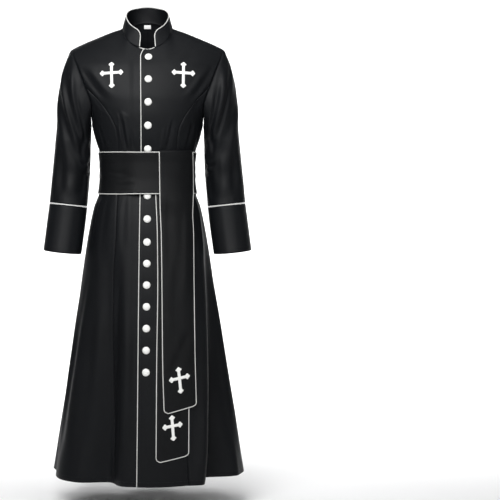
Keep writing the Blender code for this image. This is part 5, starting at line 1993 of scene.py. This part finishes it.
@dataclass
class Sash:
    """The band with its two hanging tails."""

    band_columns: int = 300
    band_rows: int = 40
    band_tall: float = 0.122
    tail_columns: int = 30
    tail_rows: int = 220
    fold_steps: int = 17
    calm_edge: float = 9 * MM
    stitch_inset: float = 4.0 * MM
    stitch_pitch: float = 3.0 * MM
    stitch_size: tuple = (1.1 * MM, 0.22 * MM, 0.18 * MM)

    @staticmethod
    def stand_off(angle: Array) -> Array:
        """Return how far the band's inner face stands off the body.

        Args:
            angle: Angles from the front.

        Returns:
            The distance at each angle.
        """
        degrees = np.degrees(angle)
        rise = fade((degrees - BAND_RISE_START) / BAND_RISE)
        window = rise * (1 - fade((degrees - BAND_FALL_START) / BAND_FALL))
        return BAND_STAND_OFF + (BAND_FRONT_STAND_OFF - BAND_STAND_OFF) * window

    @staticmethod
    def dip(angle: Array) -> Array:
        """Return how much lower the band lies than at the sides."""
        return BAND_FRONT_DIP * np.clip(np.cos(angle), 0.0, 1.0)

    def _band(self) -> Array:
        """Return the band's outer points, from its top edge down.

        Returns:
            The grid.
        """
        angles = np.linspace(-math.pi, math.pi, self.band_columns + 1)[None, :-1]
        share = np.linspace(0, 1, self.band_rows + 1)[:, None]
        heights = BAND_TOP + (BAND_BOTTOM - BAND_TOP) * share - self.dip(angles)
        lift = self.stand_off(angles) + DOUBLE_CLOTH + 0 * share
        field = CreaseField(BAND_CREASES, BODY_DEGREE, turn=360.0)
        calm = fade(np.minimum(share, 1 - share) * self.band_tall / self.calm_edge)
        lift = lift + field(np.degrees(angles) + 0 * share, heights) * calm
        return FORM.lifted(angles + 0 * share, heights, lift)

    @staticmethod
    def under_lift(heights: Array) -> Array:
        """Return the under tail's outer face over the skirt."""
        return np.full_like(heights, UNDER_TAIL_OFFSET)

    @staticmethod
    def upper_lift(heights: Array) -> Array:
        """Return the upper tail's outer face over the body: it comes in below the band."""
        drop = fade((BAND_BOTTOM - BAND_FRONT_DIP - TAIL_DROP_START - heights) / TAIL_DROP)
        return OVER_BAND_OFFSET + (UPPER_TAIL_OFFSET - OVER_BAND_OFFSET) * drop

    def _hang(
        self, table: Sequence[TailRow], first: float, corners: tuple[float, float],
        lift_at: Callable, creases: Sequence[Crease],
    ) -> Array:
        """Return a tail's outer points where it hangs down, inside its cord.

        Args:
            table: The tail's long edges.
            first: The height where it starts.
            corners: Heights of its two lower corners.
            lift_at: Gives its face's offset at a height.
            creases: Its creases.

        Returns:
            The grid.
        """
        inner_at, outer_at = (column_curve(table, "height", key) for key in ("inner", "outer"))
        field = CreaseField(creases, 1.0)
        share = np.linspace(0, 1, self.tail_columns + 1)
        made = []
        radius = TAIL_CORNER_RADIUS - CORD_SEAT
        ends = [corner + CORD_SEAT for corner in corners]
        for down in np.linspace(0, 1, self.tail_rows):
            heights = first + (ends[0] + (ends[1] - ends[0]) * share - first) * down
            over = np.clip((ends[0] + radius - heights[0]) / radius, 0.0, 1.0)
            narrow = radius * (1 - math.sqrt(1 - over**2 * 0.999))
            left = inner_at(heights) + CORD_SEAT + narrow
            right = outer_at(heights) - CORD_SEAT - narrow
            across = left + (right - left) * share
            angles = FORM.angle_under_flutes(across, heights)
            lift = lift_at(heights) + field(across, heights)
            made.append(FORM.lifted(angles, heights, lift))
        return np.array(made)

    def _fold(self) -> Array:
        """Return the upper tail's points behind the band and over its top edge.

        Returns:
            The grid.
        """
        left = column_curve(UPPER_TAIL, "height", "inner")(BAND_TOP) + CORD_SEAT
        right = column_curve(UPPER_TAIL, "height", "outer")(BAND_TOP) - CORD_SEAT
        across = left + (right - left) * np.linspace(0, 1, self.tail_columns + 1)
        edge = BAND_TOP - self.dip(FORM.angle_at(across, BAND_TOP))
        centre = (OVER_BAND_OFFSET + BEHIND_BAND_OFFSET) / 2
        radius = (OVER_BAND_OFFSET - BEHIND_BAND_OFFSET) / 2
        turns = np.linspace(0, math.pi, self.fold_steps)
        rows = [(FOLD_RISE - TUCK_LENGTH * k / 6, BEHIND_BAND_OFFSET) for k in (6, 4, 2)]
        rows += [(FOLD_RISE + radius * math.sin(t), centre - radius * math.cos(t)) for t in turns]
        fold = []
        for rise, lift in rows:
            angles = FORM.angle_at(across, edge + rise)
            fold.append(FORM.lifted(angles, edge + rise, np.full_like(across, lift)))
        return np.array(fold)

    def build(self, stitches: StitchTree) -> None:
        """Make the band, the tails, their cords and their edge stitching.

        Args:
            stitches: The tree that lays the stitching.
        """
        lines = self._build_band()
        fold = self._fold()
        hang = self._hang(
            UPPER_TAIL, UPPER_TAIL_START, UPPER_TAIL_CORNERS, self.upper_lift, UPPER_TAIL_CREASES
        )
        lines += self._build_tail("tail_upper", np.concatenate([fold, hang]), len(fold) - 1)
        under = self._hang(
            UNDER_TAIL, UNDER_TAIL_TOP, UNDER_TAIL_CORNERS, self.under_lift, UNDER_TAIL_CREASES
        )
        lines += self._build_tail("tail_under", under, 2)
        stitches.lay("sash_edge_stitches", lines, self.stitch_pitch, self.stitch_size)

    def _build_band(self) -> list[tuple[Array, Array]]:
        """Make the band and its cords, and return its stitch lines.

        Returns:
            Pairs of a line and its outward directions.
        """
        grid = self._band()
        out = facing(grid_normals(grid, closed=True), grid - grid.mean(axis=1, keepdims=True))
        band = Cloth("sash_band_cloth", grid, DOUBLE_CLOTH, Finish.SASH, True, out)
        band.make("sash_band", "stretched", ["front_left_cloth"])
        lines = []
        for row, step, word, inner in ((0, 1, "top", 2), (-1, -1, "bottom", -3)):
            up = np.array([0, 0, CORD_SEAT * step])
            path = grid[row] - out[row] * DOUBLE_CLOTH / 2 + up
            Cord(f"piping_band_{word}", path, closed=True).make()
            line, ways = grid[inner] + out[inner] * STITCH_LIFT, out[inner]
            lines.append((np.concatenate([line, line[:1]]), np.concatenate([ways, ways[:1]])))
        return lines

    def _build_tail(self, node: str, grid: Array, start: int) -> list[tuple[Array, Array]]:
        """Make a tail and its cord from a row down, and return its stitch lines.

        Args:
            node: The solid's node.
            grid: The tail's outer points.
            start: The row where its cord starts.

        Returns:
            Pairs of a line and its outward directions.
        """
        ways = grid_normals(grid)
        ways = -ways if ways[-1, 0, 1] > 0 else ways
        tail = Cloth(node + "_cloth", grid, DOUBLE_CLOTH, Finish.SASH, normals=ways)
        tail.make(node, "hung", ["sash_band_cloth"])
        cut = slice(start, -1)
        edge, face = (
            np.concatenate([side[cut, 0], side[-1], side[cut, -1][::-1]]) for side in (grid, ways)
        )
        inward = grid[-2, self.tail_columns // 2]
        Cord(f"piping_{node}", beside_edge(edge, face, DOUBLE_CLOTH / 2, inward)).make()
        along = run_length(grid, 1)
        lines = []
        for away in (along, along[:, -1:] - along):
            rows = np.arange(start, len(grid) - 4)
            columns = np.argmin(np.abs(away[rows] - self.stitch_inset), axis=1)
            out = ways[rows, columns]
            lines.append((grid[rows, columns] + out * STITCH_LIFT, out))
        return lines


# Buttons, crosses and label


@dataclass
class Buttons:
    """Domed buttons down the front edge."""

    sides: int = 40
    seat: float = 0.2 * MM
    # Shares of the radius and of the height, from the foot to the dome's start
    rim: tuple = (
        (0.30, 0.00), (0.34, 0.10), (0.80, 0.12), (0.97, 0.20),
        (1.0, 0.30), (0.985, 0.37), (0.955, 0.415), (0.93, 0.42),
    )
    dome_radius: float = 0.92
    dome_start: float = 0.42
    dome_turns: tuple = (0.12, 1.45, 12)

    def build(self, instances: InstanceTree) -> None:
        """Make one button and set it on every place.

        Args:
            instances: The tree that sets the buttons.
        """
        heights = np.array(button_heights())
        across = np.array([button_across(z) for z in heights])
        angles = FORM.angle_under_flutes(across, heights)
        up = FORM.normal(angles, heights)
        seats = FORM.lifted(angles, heights, FORM.relief(angles, heights) + self.seat)
        along = unit(np.cross(up, np.array([0.0, 0.0, 1.0])))
        piece = self._piece()
        made = instances.set_on("buttons_domed", piece, seats, up, along)
        bpy.data.objects.remove(piece)
        place(made, [f"button_{k:02d}" for k in range(1, len(heights) + 1)])

    def _piece(self) -> bpy.types.Object:
        """Turn one button's profile round its middle.

        Returns:
            The button, to be set on its places.
        """
        profile = list(self.rim)
        for turn in np.linspace(*self.dome_turns):
            rise = (1 - self.dome_start) * math.sin(turn)
            profile.append((self.dome_radius * math.cos(turn), self.dome_start + rise))
        turns = np.linspace(0, 2 * math.pi, self.sides, endpoint=False)
        ring = np.stack([np.cos(turns), np.sin(turns)], axis=-1) * BUTTON_RADIUS
        points = [(x * a, y * a, b * BUTTON_HEIGHT) for a, b in profile for x, y in ring]
        quads = quads_of(len(profile), self.sides, True)[0].tolist()
        top = [(len(profile) - 1) * self.sides + k for k in range(self.sides)]
        foot = list(range(self.sides))[::-1]
        mesh = bpy.data.meshes.new("button_piece")
        mesh.from_pydata(points, [], [*quads, top, foot])
        return new_object("button_piece", mesh)


@dataclass
class Cross:
    """A white satin-stitched cross: four arms with blunt arrow ends, edges rolled over."""

    spot: CrossPlace
    lift_at: Callable
    bar: float = 4.3
    # Distance back from the tip and half width, in millimetres
    end: tuple = (
        (13.5, 4.3), (11.6, 5.2), (10.0, 7.2), (8.6, 8.6), (7.4, 8.9), (6.2, 8.2),
        (4.6, 6.4), (3.0, 4.5), (1.5, 2.9), (0.6, 1.8), (0.1, 0.8),
    )
    shares: tuple = (-1.0, -0.95, -0.84, -0.62, -0.32, 0.0, 0.32, 0.62, 0.84, 0.95, 1.0)
    roll: float = 1.7
    step: float = 2.2
    # How blunt the tips are: rise per distance from them, and the least of it
    blunt: float = 0.8
    least: float = 0.02
    foot: float = 0.1 * MM
    join: float = 0.01 * MM

    def arm(self, length: float, quarter: int) -> tuple[Array, Array, Array]:
        """Return an arm's flat points, its rise over the cloth and its UVs, in mm.

        Args:
            length: The arm's length.
            quarter: Its quarter turn, 0 to 3.

        Returns:
            Flat points, rise and UV pairs.
        """
        tip, start = length / MM, self.bar
        reach = tip - self.end[0][0]
        steps = max(2, round((reach - start) / self.step))
        stations = [(start + (reach - start) * k / steps, self.bar) for k in range(steps)]
        stations += [(tip - back, half) for back, half in self.end]
        along = np.array([a for a, _ in stations])[:, None] + 0 * np.array(self.shares)
        half = np.array([h for _, h in stations])[:, None]
        across = half * np.array(self.shares)
        inside = np.minimum(half - np.abs(across), (tip - along) * self.blunt + self.least)
        turn = quarter * math.pi / 2
        c, s = math.cos(turn), math.sin(turn)
        flat = np.stack([c * along - s * across, s * along + c * across], axis=-1)
        return flat, self.rise(inside), np.stack([along, across], axis=-1)

    def rise(self, inside: Array) -> Array:
        """Return how far the stitching stands up at a distance from its edge, as a share."""
        share = np.clip(inside / self.roll, 0.0, 1.0)
        return np.sqrt(1 - (1 - share) ** 2)

    def centre(self) -> tuple[Array, Array, Array]:
        """Return the crossing's square.

        Returns:
            Flat points, rise and UV pairs.
        """
        places = self.bar * np.array(self.shares)
        flat = np.stack(np.meshgrid(places, places, indexing="ij"), axis=-1)
        corner = np.hypot(self.bar - np.abs(flat[..., 0]), self.bar - np.abs(flat[..., 1]))
        return flat, self.rise(corner), flat

    def on_cloth(self, flat: Array, lift: Array) -> Array:
        """Lay flat points on the cloth at a lift.

        Args:
            flat: Flat points, in mm.
            lift: How far over the cloth they lie, in metres.

        Returns:
            The points.
        """
        tilt, spot = self.spot.tilt, self.spot
        u, v = flat[..., 0] * MM, flat[..., 1] * MM
        across = spot.across + u * math.cos(tilt) - v * math.sin(tilt) * CROSS_LEAN
        heights = spot.height + u * math.sin(tilt) + v * math.cos(tilt)
        angles = FORM.angle_under_flutes(across, heights)
        return FORM.lifted(angles, heights, self.lift_at(angles, across, heights) + lift)

    def build(self) -> None:
        """Make the cross as one closed, pillowed piece."""
        spot = self.spot
        upper = spot.tall * CROSS_UPPER_SHARE
        lengths = (spot.width / 2, upper, spot.width / 2, spot.tall - upper)
        grids = [self.arm(length, quarter) for quarter, length in enumerate(lengths)]
        vertices, faces, uvs, start = [], [], [], 0
        for flat, rise, plane in [*grids, self.centre()]:
            rows, columns = rise.shape
            quads, corners = quads_of(rows, columns, False)
            own = plane[corners[..., 0], corners[..., 1]] * MM
            for share, turn in ((CROSS_THICKNESS, 1), (0.0, -1)):
                points = self.on_cloth(flat, self.foot + rise * share)
                vertices.append(points.reshape(-1, 3))
                faces.append(quads[:, ::turn] + start)
                uvs.append(own[:, ::turn])
                start += rows * columns
        parts = (np.concatenate(part) for part in (vertices, faces, uvs))
        made = link_mesh(spot.name + "_applique", *parts, Finish.EMBROIDERY)
        joined = bmesh.new()
        joined.from_mesh(made.data)
        bmesh.ops.remove_doubles(joined, verts=joined.verts, dist=self.join)
        bmesh.ops.recalc_face_normals(joined, faces=joined.faces)
        joined.to_mesh(made.data)
        joined.free()
        place(made, [spot.name])


def chest_lift(angles: Array, across: Array, heights: Array) -> Array:
    """Return the chest cloth's own relief."""
    return FORM.relief(angles, heights)


def tail_lift(lift: Callable, creases: Sequence[Crease]) -> Callable:
    """Return a function of a tail's face with its creases."""
    field = CreaseField(creases, 1.0)
    return lambda angles, across, heights: lift(heights) + field(across, heights)


@dataclass
class Label:
    """The blank label inside the back of the neck."""

    rows: int = 14
    columns: int = 22
    thickness: float = 0.6 * MM
    sag: float = 0.4 * MM
    clear: float = 1.4 * MM

    def build(self) -> None:
        """Make the label."""
        across = np.linspace(LABEL_HALF_WIDTH, -LABEL_HALF_WIDTH, self.columns)[None, :]
        heights = np.linspace(LABEL_TOP, LABEL_BOTTOM, self.rows)[:, None] + 0 * across
        angles = FORM.angle_at(across, heights, behind=True)
        sag = self.sag * np.sin(np.linspace(0, math.pi, self.rows))[:, None] + 0 * across
        points = FORM.lifted(angles, heights, -CLOTH - self.clear - sag)
        normals = FORM.normal(angles, heights)
        label = Cloth("label_ribbon", points, self.thickness, Finish.LABEL, normals=normals)
        label.make("label", "stretched", ["back_left_cloth"])


@dataclass
class FrontEdge:
    """Piping and stitching of the front edges and the neckline."""

    cord_sink: float = 0.2 * MM
    stitch_inset: float = 5.0 * MM
    stitch_pitch: float = 3.4 * MM
    stitch_size: tuple = (1.2 * MM, 0.2 * MM, 0.14 * MM)

    def build(self, bodice: Bodice, stitches: StitchTree) -> None:
        """Make the cords and the stitch lines along the bodice's fronts.

        Args:
            bodice: The panels that are already made.
            stitches: The tree that lays the stitching.
        """
        first = PanelCutter.neck_edge
        points, under = bodice.fronts[1], bodice.fronts[-1]
        normals, ways = (facing(grid_normals(grid), grid * LEVEL) for grid in (points, under))
        edge, out = (
            np.concatenate([side[0, 1:first][::-1], side[:, 0]]) for side in (points, normals)
        )
        middle = len(points) // 2
        Cord("piping_front", beside_edge(edge, out, self.cord_sink, points[middle, 1])).make()
        piece = slice(5, first + 1)
        short = beside_edge(under[0, piece], ways[0, piece], 0.0, under[2, first])
        Cord("piping_neck", short).make()
        line = inside_edge(points[2:, 0], normals[2:, 0], self.stitch_inset, points[middle, 3])
        lines = [line, *bodice.hems]
        stitches.lay("front_and_hem_stitches", lines, self.stitch_pitch, self.stitch_size)


# Studio


class AreaLight(NamedTuple):
    """A soft square light: where it stands, its target, watts, size and spread in degrees."""

    name: str
    spot: tuple[float, float, float]
    target: tuple[float, float, float]
    power: float
    size: float
    spread: float = 180.0


ROBE_MIDDLE = (0.0, 0.0, -0.2)
LIGHTS = rows_of(
    AreaLight,
    ("key", (-0.5, -1.7, 0.85), ROBE_MIDDLE, 60, 1.4),
    ("fill", (1.3, -2.2, 0.5), ROBE_MIDDLE, 16, 1.4),
    ("top", (0.2, -0.5, 2.0), ROBE_MIDDLE, 10, 1.2),
    ("back", (-0.8, 2.6, 1.3), ROBE_MIDDLE, 34, 1.4),
    ("paper_left", (-2.4, 1.6, 2.4), (0.0, 5.6, -1.3), 230, 1.8, 120),
    ("paper_right", (4.4, 1.6, 2.4), (2.0, 5.6, -1.3), 230, 1.8, 120),
)


@dataclass
class Studio:
    """Floor, backdrop, light and camera, in metres from the robe's neck."""

    floor_height: float = -1.44
    paper_width: float = 30.0
    paper_near: float = -14.0
    paper_far: float = 7.5
    paper_bend: float = 2.0
    paper_top: float = 9.0
    daylight: float = 0.13
    distance: float = 4.0
    lens: float = 94.4
    eye_height: float = -0.677
    sideways: float = 0.205

    def build(self) -> None:
        """Set up everything that isn't the robe."""
        self._paper()
        world = bpy.data.worlds.new("studio_world")
        world.use_nodes = True
        colour = linear("#f4f6f9")
        feed(world.node_tree.nodes["Background"], {"Color": colour, "Strength": self.daylight})
        bpy.context.scene.world = world
        bpy.context.scene.view_settings.view_transform = "Standard"
        for light in LIGHTS:
            self._light(light)
        self._camera()

    def _paper(self) -> bpy.types.Object:
        """Make a paper sweep: floor and wall in one curved sheet.

        Returns:
            The sheet.
        """
        start = self.paper_far - self.paper_bend
        profile = [(self.paper_near, self.floor_height), (start, self.floor_height)]
        for turn in np.linspace(0, math.pi / 2, 13)[1:]:
            up = self.paper_bend * (1 - math.cos(turn))
            profile.append((start + self.paper_bend * math.sin(turn), self.floor_height + up))
        profile.append((self.paper_far, self.paper_top))
        half = self.paper_width / 2
        vertices = [(x, y, z) for y, z in profile for x in (-half, half)]
        faces = [[2 * k, 2 * k + 1, 2 * k + 3, 2 * k + 2] for k in range(len(profile) - 1)]
        mesh = bpy.data.meshes.new("paper_sweep")
        mesh.from_pydata(vertices, [], faces)
        mesh.shade_smooth()
        paper = PlainFinish("white_paper_sweep", "#f6f6f6", 0.9, 3.0, 0.02)
        mesh.materials.append(paper.material())
        return new_object("paper_sweep", mesh)

    def _light(self, row: AreaLight) -> None:
        """Add one light, turned to its target.

        Args:
            row: The light.
        """
        light = bpy.data.lights.new(row.name, "AREA")
        light.energy, light.size = row.power, row.size
        light.spread = math.radians(row.spread)
        made = new_object(row.name, light)
        made.location = row.spot
        aim = np.array(row.target) - np.array(row.spot)
        tilt = math.acos(-aim[2] / np.linalg.norm(aim))
        made.rotation_euler = (tilt, 0.0, math.atan2(aim[1], aim[0]) - math.pi / 2)

    def _camera(self) -> None:
        """Set a level camera in front of the robe, framed as in the picture."""
        camera = bpy.data.cameras.new("camera")
        camera.lens, camera.shift_x = self.lens, self.sideways
        camera.clip_start, camera.clip_end = 0.05, 60.0
        made = new_object("camera", camera)
        made.location = (0.0, -self.distance, self.eye_height)
        made.rotation_euler = (math.pi / 2, 0.0, 0.0)
        bpy.context.scene.camera = made


def main() -> None:
    """Build the robe's look and the studio round it."""
    logging.basicConfig(level=logging.INFO, format="%(message)s")
    stitches, instances = StitchTree(), InstanceTree()
    bodice = Bodice()
    bodice.build()
    FrontEdge().build(bodice, stitches)
    for side, word in SIDES:
        SleeveForm(side, word).build()
    Collar().build()
    Sash().build(stitches)
    Buttons().build(instances)
    for spot in CHEST_CROSSES:
        Cross(spot, chest_lift).build()
    tails = ((Sash.upper_lift, UPPER_TAIL_CREASES), (Sash.under_lift, UNDER_TAIL_CREASES))
    for spot, (lift, creases) in zip(TAIL_CROSSES, tails):
        Cross(spot, tail_lift(lift, creases)).build()
    Label().build()
    Studio().build()
    bpy.context.view_layer.update()


if __name__ == "__main__":
    main()
